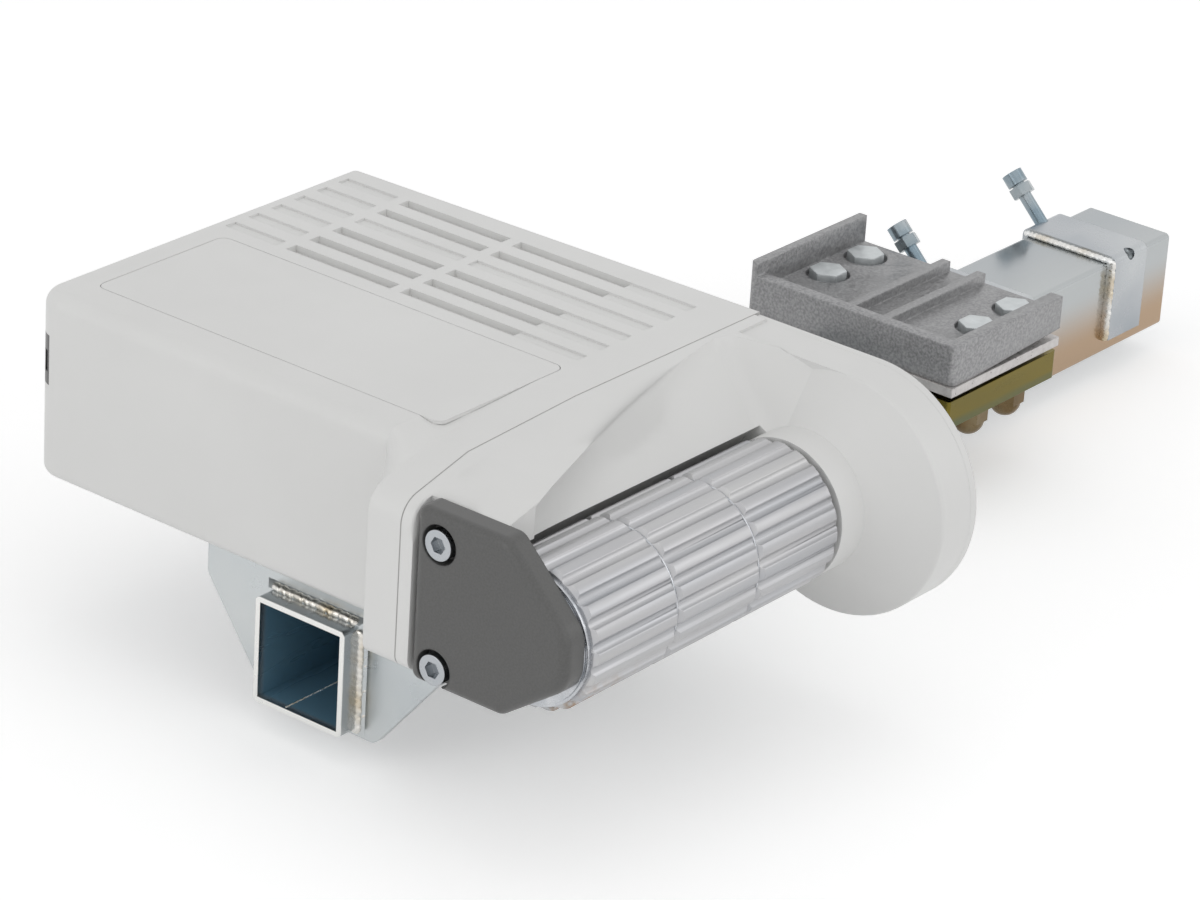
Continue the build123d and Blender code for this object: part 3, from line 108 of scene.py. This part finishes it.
addCamera(photoView)
print("camera set")


# Steps that the materials share

noiseLow, noiseHigh = 0.3, 0.7  # nearly all of a noise texture's values lie between these


def newMaterial(name):
    material = bpy.data.materials.new(name)
    material.use_nodes = True
    material.node_tree.nodes.new("ShaderNodeTexCoord")
    return (material, *reopen(material))


def reopen(material):
    # a material's tree, its shader and its object coordinates
    tree = material.node_tree
    place = tree.nodes["Texture Coordinate"]
    return tree, tree.nodes["Principled BSDF"], place.outputs["Object"]


def baseOf(shader):
    return shader.inputs["Base Color"].links[0].from_socket


def noise(tree, coords, scale, detail=3, stretch=None):
    # stretch is how much the pattern is pulled out along x, y and z
    if stretch:
        mapping = tree.nodes.new("ShaderNodeMapping")
        mapping.inputs["Scale"].default_value = tuple(1 / s for s in stretch)
        tree.links.new(coords, mapping.inputs["Vector"])
        coords = mapping.outputs["Vector"]
    texture = tree.nodes.new("ShaderNodeTexNoise")
    texture.inputs["Scale"].default_value = scale
    texture.inputs["Detail"].default_value = detail
    tree.links.new(coords, texture.inputs["Vector"])
    return texture.outputs["Fac"]


def ramp(tree, value, stops):
    # stops are pairs of a position and a colour, from low to high
    node = tree.nodes.new("ShaderNodeValToRGB")
    elements = node.color_ramp.elements
    for element, (position, colour) in zip(elements, (stops[0], stops[-1])):
        element.position = position
        element.color = (*colour, 1)
    for position, colour in stops[1:-1]:
        elements.new(position).color = (*colour, 1)
    tree.links.new(value, node.inputs["Fac"])
    return node.outputs["Color"]


def between(tree, value, low, high, start=0.0, end=1.0):
    # low where the value is start, high where it is end
    node = tree.nodes.new("ShaderNodeMapRange")
    node.inputs["From Min"].default_value = start
    node.inputs["From Max"].default_value = end
    node.inputs["To Min"].default_value = low
    node.inputs["To Max"].default_value = high
    tree.links.new(value, node.inputs["Value"])
    return node.outputs["Result"]


def spread(tree, value, low, high):
    # a noise's values spread over low to high
    return between(tree, value, low, high, noiseLow, noiseHigh)


def bump(tree, shader, value, distance, strength):
    node = tree.nodes.new("ShaderNodeBump")
    node.inputs["Distance"].default_value = distance
    node.inputs["Strength"].default_value = strength
    tree.links.new(value, node.inputs["Height"])
    previous = shader.inputs["Normal"].links
    if previous:
        tree.links.new(previous[0].from_socket, node.inputs["Normal"])
    tree.links.new(node.outputs["Normal"], shader.inputs["Normal"])


def softEdges(tree, shader, radius):
    # rounds the shading of crisp edges, as moulding, plating and casting leave them
    node = tree.nodes.new("ShaderNodeBevel")
    node.samples = 4
    node.inputs["Radius"].default_value = radius
    tree.links.new(node.outputs["Normal"], shader.inputs["Normal"])


def tint(tree, base, factor, colour):
    node = tree.nodes.new("ShaderNodeMix")
    node.data_type = "RGBA"
    first, second = node.inputs[6], node.inputs[7]  # the node's two colour plugs
    second.default_value = (*colour, 1)
    tree.links.new(factor, node.inputs["Factor"])
    tree.links.new(base, first)
    return node.outputs[2]


def times(tree, product, *others):
    for other in others:
        node = tree.nodes.new("ShaderNodeMath")
        node.operation = "MULTIPLY"
        tree.links.new(product, node.inputs[0])
        tree.links.new(other, node.inputs[1])
        product = node.outputs["Value"]
    return product


def axisOf(tree, coords, axis):
    split = tree.nodes.new("ShaderNodeSeparateXYZ")
    tree.links.new(coords, split.inputs["Vector"])
    return split.outputs[axis]


def along(tree, coords, axis, start, end):
    # 0 at start and 1 at end, measured along one axis of the object
    node = tree.nodes.new("ShaderNodeMapRange")
    node.interpolation_type = "SMOOTHSTEP"
    node.inputs["From Min"].default_value = start
    node.inputs["From Max"].default_value = end
    tree.links.new(axisOf(tree, coords, axis), node.inputs["Value"])
    return node.outputs["Result"]


def inner(tree, coords, axis, inside, outside, middle=0.0):
    # 1 nearer to the middle than inside, 0 farther from it than outside
    offset = tree.nodes.new("ShaderNodeMath")
    offset.operation = "ADD"
    offset.inputs[1].default_value = -middle
    tree.links.new(axisOf(tree, coords, axis), offset.inputs[0])
    distance = tree.nodes.new("ShaderNodeMath")
    distance.operation = "ABSOLUTE"
    tree.links.new(offset.outputs["Value"], distance.inputs[0])
    return between(tree, distance.outputs["Value"], 1, 0, inside, outside)


# Kinds of surface

plastic = {
    "shade": 0.97,
    "cloudScale": 9,
    "cloudEnds": (0.35, 0.65),
    "glossScale": 60,
    "glossSpread": (-0.04, 0.05),
    "grainScale": 1400,
    "grainDetail": 2,
    "grainDepth": 0.00002,
    "grainStrength": 0.5,
    "edge": 0.0006,
}


def mouldedPlastic(name, colour, roughness):
    material, tree, shader, coords = newMaterial(name)
    softEdges(tree, shader, plastic["edge"])
    dark = tuple(c * plastic["shade"] for c in colour)
    low, high = plastic["cloudEnds"]
    clouds = ramp(tree, noise(tree, coords, plastic["cloudScale"]), [(low, dark), (high, colour)])
    tree.links.new(clouds, shader.inputs["Base Color"])
    less, more = plastic["glossSpread"]
    gloss = spread(tree, noise(tree, coords, plastic["glossScale"]), roughness + less, roughness + more)
    tree.links.new(gloss, shader.inputs["Roughness"])
    grain = noise(tree, coords, plastic["grainScale"], plastic["grainDetail"])
    bump(tree, shader, grain, plastic["grainDepth"], plastic["grainStrength"])
    return material


plating = {
    "detail": 4,
    "glossFineness": 4,
    "glossSpread": (-0.08, 0.1),
    "grainScale": 500,
    "grainDepth": 0.000015,
    "grainStrength": 0.6,
    "edge": 0.0005,
}


def platedSteel(name, colours, roughness, scale, stretch=None, grain=plating["grainDepth"]):
    # plating with soft colour bands and a fine rolled grain
    material, tree, shader, coords = newMaterial(name)
    shader.inputs["Metallic"].default_value = 1
    softEdges(tree, shader, plating["edge"])
    bands = noise(tree, coords, scale, plating["detail"], stretch)
    step = (noiseHigh - noiseLow) / (len(colours) - 1)
    stops = [(noiseLow + i * step, colour) for i, colour in enumerate(colours)]
    tree.links.new(ramp(tree, bands, stops), shader.inputs["Base Color"])
    less, more = plating["glossSpread"]
    fine = noise(tree, coords, scale * plating["glossFineness"], plating["detail"], stretch)
    tree.links.new(spread(tree, fine, roughness + less, roughness + more), shader.inputs["Roughness"])
    rolled = noise(tree, coords, plating["grainScale"], stretch=stretch)
    bump(tree, shader, rolled, grain, plating["grainStrength"])
    return material


castSkin = {
    "speckEnds": (0.35, 0.7),
    "speckDetail": 6,
    "glossSpread": (-0.1, 0.1),
    "pitStrength": 0.8,
    "waveScale": 90,
    "waveDepth": 1.5,  # times the depth of the pits
    "waveStrength": 0.5,
}


def castMetal(name, dark, light, roughness, metallic, pits, scale=420, edge=0.0008):
    # speckled casting skin with small pits
    material, tree, shader, coords = newMaterial(name)
    shader.inputs["Metallic"].default_value = metallic
    softEdges(tree, shader, edge)
    specks = noise(tree, coords, scale, castSkin["speckDetail"])
    low, high = castSkin["speckEnds"]
    tree.links.new(ramp(tree, specks, [(low, dark), (high, light)]), shader.inputs["Base Color"])
    less, more = castSkin["glossSpread"]
    tree.links.new(spread(tree, specks, roughness + less, roughness + more), shader.inputs["Roughness"])
    bump(tree, shader, specks, pits, castSkin["pitStrength"])
    waves = noise(tree, coords, castSkin["waveScale"])
    bump(tree, shader, waves, pits * castSkin["waveDepth"], castSkin["waveStrength"])
    return material


# Cross tube: clear zinc, with a painted reflection of warm brown surroundings in straw and brown low on
# the side towards the tyre beyond the clamp, dark inside

tube = {
    "bands": [(0.36, 0.39, 0.41), (0.43, 0.45, 0.46), (0.48, 0.5, 0.5)],
    "roughness": 0.2,
    "bandScale": 7,
    "bandStretch": (6, 1, 1),
    # painted reflection of warm brown surroundings: its colour, and where it fades in downwards, beyond
    # the clamp and on the side towards the tyre
    "paintedReflectionColour": (0.42, 0.3, 0.2),
    "paintedReflectionDown": (-0.012, -0.048),
    "paintedReflectionBeyond": (-0.02, 0.06),
    "paintedReflectionSide": (-0.028, -0.0298),
    "rimColour": (0.8, 0.8, 0.78),
    "rimFade": (-0.5131, -0.5138),
    "boreColour": (0.1, 0.26, 0.37),
    "boreEdge": (0.0268, 0.0282),
    "boreFade": (-0.5139, -0.508),
    "boreMetallic": 0.25,
    "axisHeight": -0.03,
}


def tubeZinc(look):
    bands = look["bands"]
    material = platedSteel("tubeZinc", bands, look["roughness"], look["bandScale"], look["bandStretch"])
    tree, shader, coords = reopen(material)
    # painted reflection: warm brown from the surroundings, laid into the zinc low on the side towards the
    # tyre beyond the clamp
    paintedReflection = times(
        tree,
        along(tree, coords, "Z", *look["paintedReflectionDown"]),
        along(tree, coords, "X", *look["paintedReflectionBeyond"]),
        along(tree, coords, "Y", *look["paintedReflectionSide"]),
    )
    base = tint(tree, baseOf(shader), paintedReflection, look["paintedReflectionColour"])
    base = tint(tree, base, along(tree, coords, "X", *look["rimFade"]), look["rimColour"])
    bore = times(
        tree,
        inner(tree, coords, "Y", *look["boreEdge"]),
        inner(tree, coords, "Z", *look["boreEdge"], look["axisHeight"]),
        along(tree, coords, "X", *look["boreFade"]),
    )
    base = tint(tree, base, bore, look["boreColour"])
    tree.links.new(base, shader.inputs["Base Color"])
    tree.links.new(between(tree, bore, 1, look["boreMetallic"]), shader.inputs["Metallic"])
    return material


# Clamp bars: yellow passivate with a green band

bars = {
    "bands": [(0.145, 0.118, 0.027), (0.195, 0.152, 0.027), (0.24, 0.18, 0.035)],
    "roughness": 0.3,
    "bandScale": 20,
    "bandStretch": (3, 1, 1),
    "greenColour": (0.08, 0.12, 0.08),
    "greenScale": 20,
    "greenDetail": 2,
    "greenStretch": (5, 1, 0.4),
    "greenSpread": (-0.8, 1.0),
}


def barZinc(look):
    bands = look["bands"]
    material = platedSteel("barZinc", bands, look["roughness"], look["bandScale"], look["bandStretch"])
    tree, shader, coords = reopen(material)
    green = noise(tree, coords, look["greenScale"], look["greenDetail"], look["greenStretch"])
    green = spread(tree, green, *look["greenSpread"])
    tree.links.new(tint(tree, baseOf(shader), green, look["greenColour"]), shader.inputs["Base Color"])
    return material


# Roller: aluminium with lengthwise grain, brown with road dirt low at the wheel end

rollerLook = {
    "bands": [(0.4, 0.41, 0.43), (0.46, 0.46, 0.47), (0.52, 0.52, 0.52)],
    "roughness": 0.42,
    "bandScale": 70,
    "bandStretch": (14, 1, 1),
    "grainDepth": 0.00003,
    "dirtColour": (0.3, 0.19, 0.1),
    "dirtDown": (0.045, 0.015),
    "dirtNear": (-0.47, -0.53),
    "dirtScale": 160,
    "dirtDetail": 5,
    "dirtSpread": (-0.8, 1.2),
}


def rollerMetal(look):
    material = platedSteel(
        "rollerMetal",
        look["bands"],
        look["roughness"],
        look["bandScale"],
        look["bandStretch"],
        look["grainDepth"],
    )
    tree, shader, coords = reopen(material)
    spots = noise(tree, coords, look["dirtScale"], look["dirtDetail"])
    dirt = times(
        tree,
        along(tree, coords, "Z", *look["dirtDown"]),
        along(tree, coords, "X", *look["dirtNear"]),
        spread(tree, spots, *look["dirtSpread"]),
    )
    tree.links.new(tint(tree, baseOf(shader), dirt, look["dirtColour"]), shader.inputs["Base Color"])
    return material


# White mouldings: housing and front cover, with the fine joint line between them

cover = {
    "colour": (0.74, 0.74, 0.73),
    "roughness": 0.42,
    "edge": 0.0006,
    "round": 0.016,
    "roundSamples": 8,
    "seamFade": (-0.094, -0.102),
    "slotFade": (-0.132, -0.122),
    "rightFade": (-0.34, -0.38),
    "lowFade": (0.084, 0.094),
    "seam": -0.091,
    "seamEdge": (0.00015, 0.0005),
    "seamColour": (0.42, 0.42, 0.41),
    "seamDepth": -0.0004,
    "seamStrength": 0.6,
}


def seamLine(material, look):
    # fine dark joint line where the two mouldings meet, at one distance along Y
    tree, shader, coords = reopen(material)
    line = inner(tree, coords, "Y", *look["seamEdge"], look["seam"])
    tree.links.new(tint(tree, baseOf(shader), line, look["seamColour"]), shader.inputs["Base Color"])
    bump(tree, shader, line, look["seamDepth"], look["seamStrength"])
    return material


def coverPlastic(look):
    # its shading rounds widely where the cheek runs into the scoop
    material = mouldedPlastic("coverPlastic", look["colour"], look["roughness"])
    tree, _, coords = reopen(material)
    wide = times(
        tree,
        along(tree, coords, "Y", *look["seamFade"]),
        along(tree, coords, "Y", *look["slotFade"]),
        along(tree, coords, "X", *look["rightFade"]),
        along(tree, coords, "Z", *look["lowFade"]),
    )
    edges = tree.nodes["Bevel"]
    edges.samples = look["roundSamples"]
    tree.links.new(between(tree, wide, look["edge"], look["round"]), edges.inputs["Radius"])
    return seamLine(material, look)


def housingPlastic(look):
    return seamLine(mouldedPlastic("housingPlastic", look["colour"], look["roughness"]), look)


# Finish of each slot, and of the nodes that differ from the rest of theirs

finishes = {
    "white_shell": mouldedPlastic("whiteShell", cover["colour"], cover["roughness"]),
    "grey_bracket": castMetal(
        "greyBracket", (0.085, 0.085, 0.083), (0.105, 0.105, 0.103), 0.4, 0.0, 0.00003, 900, 0.0018
    ),
    "dark_insert": mouldedPlastic("darkInsert", (0.085, 0.085, 0.085), 0.3),
    "red_lens": mouldedPlastic("redLens", (0.2, 0.02, 0.015), 0.15),
    "zinc_steel": platedSteel(
        "zincSteel", [(0.34, 0.37, 0.4), (0.44, 0.46, 0.48), (0.52, 0.54, 0.55)], 0.24, 14
    ),
    "galvanised": platedSteel(
        "galvanised", [(0.46, 0.49, 0.51), (0.54, 0.57, 0.58), (0.6, 0.62, 0.62)], 0.32, 9
    ),
    "hard_steel": platedSteel("hardSteel", [(0.45, 0.47, 0.5), (0.6, 0.61, 0.63)], 0.28, 120),
    "roller_alu": rollerMetal(rollerLook),
    "cast_grey": castMetal(
        "castGrey", (0.24, 0.24, 0.245), (0.4, 0.4, 0.405), 0.42, 0.65, 0.00014, 620, 0.0015
    ),
    "yellow_zinc": barZinc(bars),
    "frame_alu": castMetal("frameAlu", (0.45, 0.46, 0.47), (0.55, 0.56, 0.57), 0.5, 0.8, 0.0001),
    "motor_black": castMetal("motorBlack", (0.03, 0.03, 0.03), (0.045, 0.045, 0.045), 0.4, 0.0, 0.00003),
    "bronze": platedSteel("bronze", [(0.42, 0.28, 0.12), (0.52, 0.36, 0.17)], 0.4, 200),
    "board_green": mouldedPlastic("boardGreen", (0.03, 0.16, 0.07), 0.35),
    "relay_blue": mouldedPlastic("relayBlue", (0.03, 0.08, 0.24), 0.3),
    "terminal_grey": mouldedPlastic("terminalGrey", (0.22, 0.23, 0.23), 0.5),
}
ownFinishes = {
    "front_cover": coverPlastic(cover),
    "main_housing": housingPlastic(cover),
    "cross_tube": tubeZinc(tube),
    "clamp_spacer": castMetal(
        "spacerPlate", (0.5, 0.48, 0.47), (0.62, 0.6, 0.59), 0.35, 0.6, 0.00003, 300
    ),
    "clamp_bolts": castMetal(
        "dippedZinc", (0.56, 0.59, 0.6), (0.68, 0.71, 0.72), 0.4, 0.5, 0.0004, 160, 0.0012
    ),
    "clamp_nuts": platedSteel(
        "domeZinc", [(0.11, 0.078, 0.037), (0.17, 0.12, 0.062), (0.24, 0.2, 0.125)], 0.28, 40
    ),
    "set_screws": platedSteel(
        "blueZinc", [(0.2, 0.27, 0.32), (0.3, 0.35, 0.38), (0.42, 0.44, 0.45)], 0.26, 40
    ),
    "lock_nuts": platedSteel(
        "nutZinc", [(0.24, 0.29, 0.32), (0.33, 0.37, 0.39), (0.42, 0.44, 0.45)], 0.28, 40
    ),
}
nodeSlots = {row["node"]: row["material_slot"] for row in frame["record"]["subparts"]}
for name, obj in nodes.items():
    finish = ownFinishes.get(name, finishes[nodeSlots[name]])
    if not obj.material_slots:
        obj.data.materials.append(finish)
    for slot in obj.material_slots:
        slot.material = finish
print("materials on", len(nodes), "nodes")


# Steps that the new pieces share

merge = {"distance": 0.000002, "flatAngle": 0.3}


def pickOnly(obj):
    bpy.ops.object.select_all(action="DESELECT")
    obj.select_set(True)
    bpy.context.view_layer.objects.active = obj


def apply(obj, kind, **settings):
    pickOnly(obj)
    modifier = obj.modifiers.new(kind, kind)
    for key, value in settings.items():
        setattr(modifier, key, value)
    bpy.ops.object.modifier_apply(modifier=modifier.name)


def paint(obj, material):
    obj.data.materials.clear()
    obj.data.materials.append(material)


def wholeCopy(node, name):
    # a merged copy of a node's mesh, with flat faces joined, to be worked on
    obj = bpy.data.objects.new(name, nodes[node].data.copy())
    bpy.context.collection.objects.link(obj)
    pickOnly(obj)
    bpy.ops.object.mode_set(mode="EDIT")
    bpy.ops.mesh.select_all(action="SELECT")
    bpy.ops.mesh.remove_doubles(threshold=merge["distance"])
    bpy.ops.mesh.dissolve_limited(angle_limit=math.radians(merge["flatAngle"]))
    bpy.ops.object.mode_set(mode="OBJECT")
    return obj


def standsFor(obj, node, smoothAngle):
    pickOnly(obj)
    bpy.ops.object.shade_smooth_by_angle(angle=math.radians(smoothAngle))
    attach(obj, nodes[node]["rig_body"])
    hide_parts(node)


# Roller sections, turned down at both ends so that the ribs end in points

rollerSize = {
    "parts": ("outboard", "middle", "inboard"),
    "chamfer": 0.0024,
    "crest": 0.0395,
    "clearance": 0.0003,
    "axis": (-0.1627, 0.0541),
    "sides": 160,
    "spare": 0.001,
    "ringLevel": 0.0001,
    "smoothAngle": 24,
}


def turningBlank(low, high):
    # a cylinder round the section, with a chamfer at both ends that starts past them
    bpy.ops.object.select_all(action="DESELECT")
    bpy.ops.mesh.primitive_cylinder_add(
        vertices=rollerSize["sides"],
        radius=rollerSize["crest"] + rollerSize["clearance"],
        depth=high - low + 2 * rollerSize["spare"],
        location=((low + high) / 2, *rollerSize["axis"]),
        rotation=(0, math.radians(90), 0),
    )
    blank = bpy.context.object
    bpy.ops.object.transform_apply(location=True, rotation=True, scale=True)
    bpy.ops.object.mode_set(mode="EDIT")
    bpy.ops.mesh.select_mode(type="EDGE")
    bpy.ops.mesh.select_all(action="DESELECT")
    bpy.ops.object.mode_set(mode="OBJECT")
    for edge in blank.data.edges:
        ends = [blank.data.vertices[i].co.x for i in edge.vertices]
        edge.select = abs(ends[0] - ends[1]) < rollerSize["ringLevel"]
    bpy.ops.object.mode_set(mode="EDIT")
    bpy.ops.mesh.bevel(offset=rollerSize["chamfer"] + rollerSize["spare"], segments=1)
    bpy.ops.mesh.select_mode(type="VERT")
    bpy.ops.object.mode_set(mode="OBJECT")
    return blank


for part in rollerSize["parts"]:
    node = "roller_section_" + part
    low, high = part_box(node)
    section = wholeCopy(node, "rollerSection" + part.capitalize())
    blank = turningBlank(low[0], high[0])
    apply(section, "BOOLEAN", object=blank, operation="INTERSECT", solver="EXACT")
    bpy.data.objects.remove(blank)
    paint(section, finishes["roller_alu"])
    standsFor(section, node, rollerSize["smoothAngle"])
print("roller sections turned")


# Clamp casting with soft, cast edges

castingSize = {"round": 0.0012, "steps": 2, "sharpAngle": 40, "smoothAngle": 50}
casting = wholeCopy("clamp_casting", "clampCasting")
apply(
    casting,
    "BEVEL",
    width=castingSize["round"],
    segments=castingSize["steps"],
    limit_method="ANGLE",
    angle_limit=math.radians(castingSize["sharpAngle"]),
)
paint(casting, finishes["cast_grey"])
standsFor(casting, "clamp_casting", castingSize["smoothAngle"])
print("casting softened")


# Weld beads, each a row of overlapping ripples melted into one mesh

beads = {  # lengths in metres, flow is how often the bead is smoothed
    "tubeBeadTop": {
        "start": (-0.5015, 0.027, 0.0012),
        "end": (-0.5015, -0.028, 0.0012),
        "width": 0.006,
        "height": 0.0055,
        "pitch": 0.0014,
        "flow": 7,
    },
    "tubeBeadInner": {
        "start": (-0.5035, -0.0308, -0.003),
        "end": (-0.5035, -0.0308, -0.0585),
        "width": 0.0065,
        "height": 0.0038,
        "pitch": 0.0009,
        "flow": 9,
    },
    "tubeBeadOuter": {
        "start": (-0.4995, -0.0312, -0.001),
        "end": (-0.4995, -0.0312, -0.061),
        "width": 0.005,
        "height": 0.0045,
        "pitch": 0.0013,
        "flow": 3,
    },
    "collarBeadTop": {
        "start": (0.1775, 0.03, 0.0014),
        "end": (0.1775, -0.031, 0.0014),
        "width": 0.0055,
        "height": 0.0036,
        "pitch": 0.0008,
        "flow": 10,
    },
    "collarBeadSide": {
        "start": (0.1775, -0.0314, 0.0005),
        "end": (0.1775, -0.0314, -0.0485),
        "width": 0.0065,
        "height": 0.0038,
        "pitch": 0.0012,
        "flow": 6,
    },
    "tubeSeam": {
        "start": (-0.512, 0.0086, -0.0569),
        "end": (-0.33, 0.0086, -0.0569),
        "width": 0.0012,
        "height": 0.0006,
        "pitch": 0.001,
        "flow": 2,
    },
}
rippleShape = {  # sway is pairs of a share of the width and a pace, lean is in degrees
    "segments": 18,
    "rings": 10,
    "thickness": 0.6,
    "lean": 25,
    "sway": ((0.08, 2.3), (0.05, 5.1)),
    "swell": 0.09,
    "swellPace": 1.7,
    "swellStart": 0.6,
    "voxelsAcross": 12,
}
beadBands = [(0.56, 0.47, 0.33), (0.68, 0.66, 0.62), (0.76, 0.77, 0.77)]
beadSteel = platedSteel("beadSteel", beadBands, 0.26, 50, grain=0.00003)


def firstRipple(size):
    bpy.ops.object.select_all(action="DESELECT")
    bpy.ops.mesh.primitive_uv_sphere_add(
        segments=rippleShape["segments"],
        ring_count=rippleShape["rings"],
        radius=size["width"] / 2,
        location=(0, 0, 0),
    )
    ripple = bpy.context.object
    lean = math.radians(rippleShape["lean"])
    bpy.ops.object.mode_set(mode="EDIT")
    bpy.ops.mesh.select_all(action="SELECT")
    bpy.ops.transform.resize(value=(rippleShape["thickness"], 1, size["height"] / size["width"]))
    bpy.ops.transform.rotate(value=lean, orient_axis="Y", center_override=(0, 0, 0))
    bpy.ops.object.mode_set(mode="OBJECT")
    return ripple


def addBead(name, size):
    start, end = Vector(size["start"]), Vector(size["end"])
    run = end - start
    count = max(2, round(run.length / size["pitch"]))
    turn = run.to_track_quat("X", "Z").to_matrix().to_4x4()
    first = firstRipple(size)
    ripples = []
    for i in range(count + 1):
        sway = sum(share * size["width"] * math.sin(pace * i) for share, pace in rippleShape["sway"])
        wave = math.sin(rippleShape["swellPace"] * i + rippleShape["swellStart"])
        scale = Matrix.Scale(1 + rippleShape["swell"] * wave, 4)
        place = Matrix.Translation(start + run * (i / count))
        ripple = bpy.data.objects.new(name + "Ripple", first.data.copy())
        ripple.data.transform(place @ turn @ Matrix.Translation((0, sway, 0)) @ scale)
        bpy.context.collection.objects.link(ripple)
        ripples.append(ripple)
    bpy.data.objects.remove(first)
    pickOnly(ripples[0])
    for ripple in ripples:
        ripple.select_set(True)
    bpy.ops.object.join()
    bead = bpy.context.object
    bead.name = name
    apply(bead, "REMESH", mode="VOXEL", voxel_size=size["width"] / rippleShape["voxelsAcross"])
    apply(bead, "SMOOTH", iterations=size["flow"])
    bpy.ops.object.shade_smooth()
    paint(bead, beadSteel)
    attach(bead, "chassis_mount")


for name, size in beads.items():
    addBead(name, size)
print("weld beads:", len(beads))


# Light, floor and background

studio = {
    "floorSize": 12,
    "floorGap": 0.012,
    "floorColour": (0.92, 0.92, 0.92),
    "floorRoughness": 0.9,
    "floorGlow": 0.3,
    "skyColour": (1, 1, 1),
    "skyStrength": 0.64,
    "aim": (-0.2, -0.05, 0.05),
    "lamps": [  # name, place, size, watts
        ("topLamp", (-0.3, -0.2, 2.6), 2.2, 5),
        ("frontLamp", (-1.2, -2.8, 1.5), 2.0, 9),
        ("fillLamp", (1.5, -2.4, 1.5), 2.0, 9),
        ("sideLamp", (-2.8, 0.4, 1.0), 1.5, 9),
    ],
}


def straightRays(tree):
    # 1 for rays from the camera and for what gloss and glass show
    path = tree.nodes.new("ShaderNodeLightPath")
    rays = path.outputs["Is Camera Ray"]
    for other in ("Is Glossy Ray", "Is Transmission Ray"):
        node = tree.nodes.new("ShaderNodeMath")
        node.operation = "MAXIMUM"
        tree.links.new(rays, node.inputs[0])
        tree.links.new(path.outputs[other], node.inputs[1])
        rays = node.outputs["Value"]
    return rays


def addFloor(setup, lowest):
    bpy.ops.mesh.primitive_plane_add(size=setup["floorSize"], location=(0, 0, lowest - setup["floorGap"]))
    floor = bpy.context.object
    floor.name = "floor"
    material, tree, shader, _ = newMaterial("paleFloor")
    shader.inputs["Roughness"].default_value = setup["floorRoughness"]
    shader.inputs["Base Color"].default_value = (*setup["floorColour"], 1)
    glow = tree.nodes.new("ShaderNodeEmission")
    strength = between(tree, straightRays(tree), 0, setup["floorGlow"])
    tree.links.new(strength, glow.inputs["Strength"])
    both = tree.nodes.new("ShaderNodeAddShader")
    tree.links.new(shader.outputs["BSDF"], both.inputs[0])
    tree.links.new(glow.outputs["Emission"], both.inputs[1])
    tree.links.new(both.outputs["Shader"], tree.nodes["Material Output"].inputs["Surface"])
    floor.data.materials.append(material)


def addSky(setup):
    # white where the camera looks past the floor, softer as a light
    world = bpy.data.worlds.new("studioWorld")
    world.use_nodes = True
    tree = world.node_tree
    background = tree.nodes["Background"]
    background.inputs["Color"].default_value = (*setup["skyColour"], 1)
    strength = between(tree, straightRays(tree), setup["skyStrength"], 1)
    tree.links.new(strength, background.inputs["Strength"])
    bpy.context.scene.world = world


def addLamps(setup):
    for name, place, size, watts in setup["lamps"]:
        data = bpy.data.lights.new(name, "AREA")
        data.shape = "DISK"
        data.size = size
        data.energy = watts
        lamp = bpy.data.objects.new(name, data)
        lamp.location = place
        direction = Vector(setup["aim"]) - Vector(place)
        lamp.rotation_euler = direction.to_track_quat("-Z", "Y").to_euler()
        bpy.context.collection.objects.link(lamp)


addFloor(studio, cadBox[0][2])
addSky(studio)
addLamps(studio)
bpy.context.scene.view_settings.view_transform = "Standard"
print("studio set")
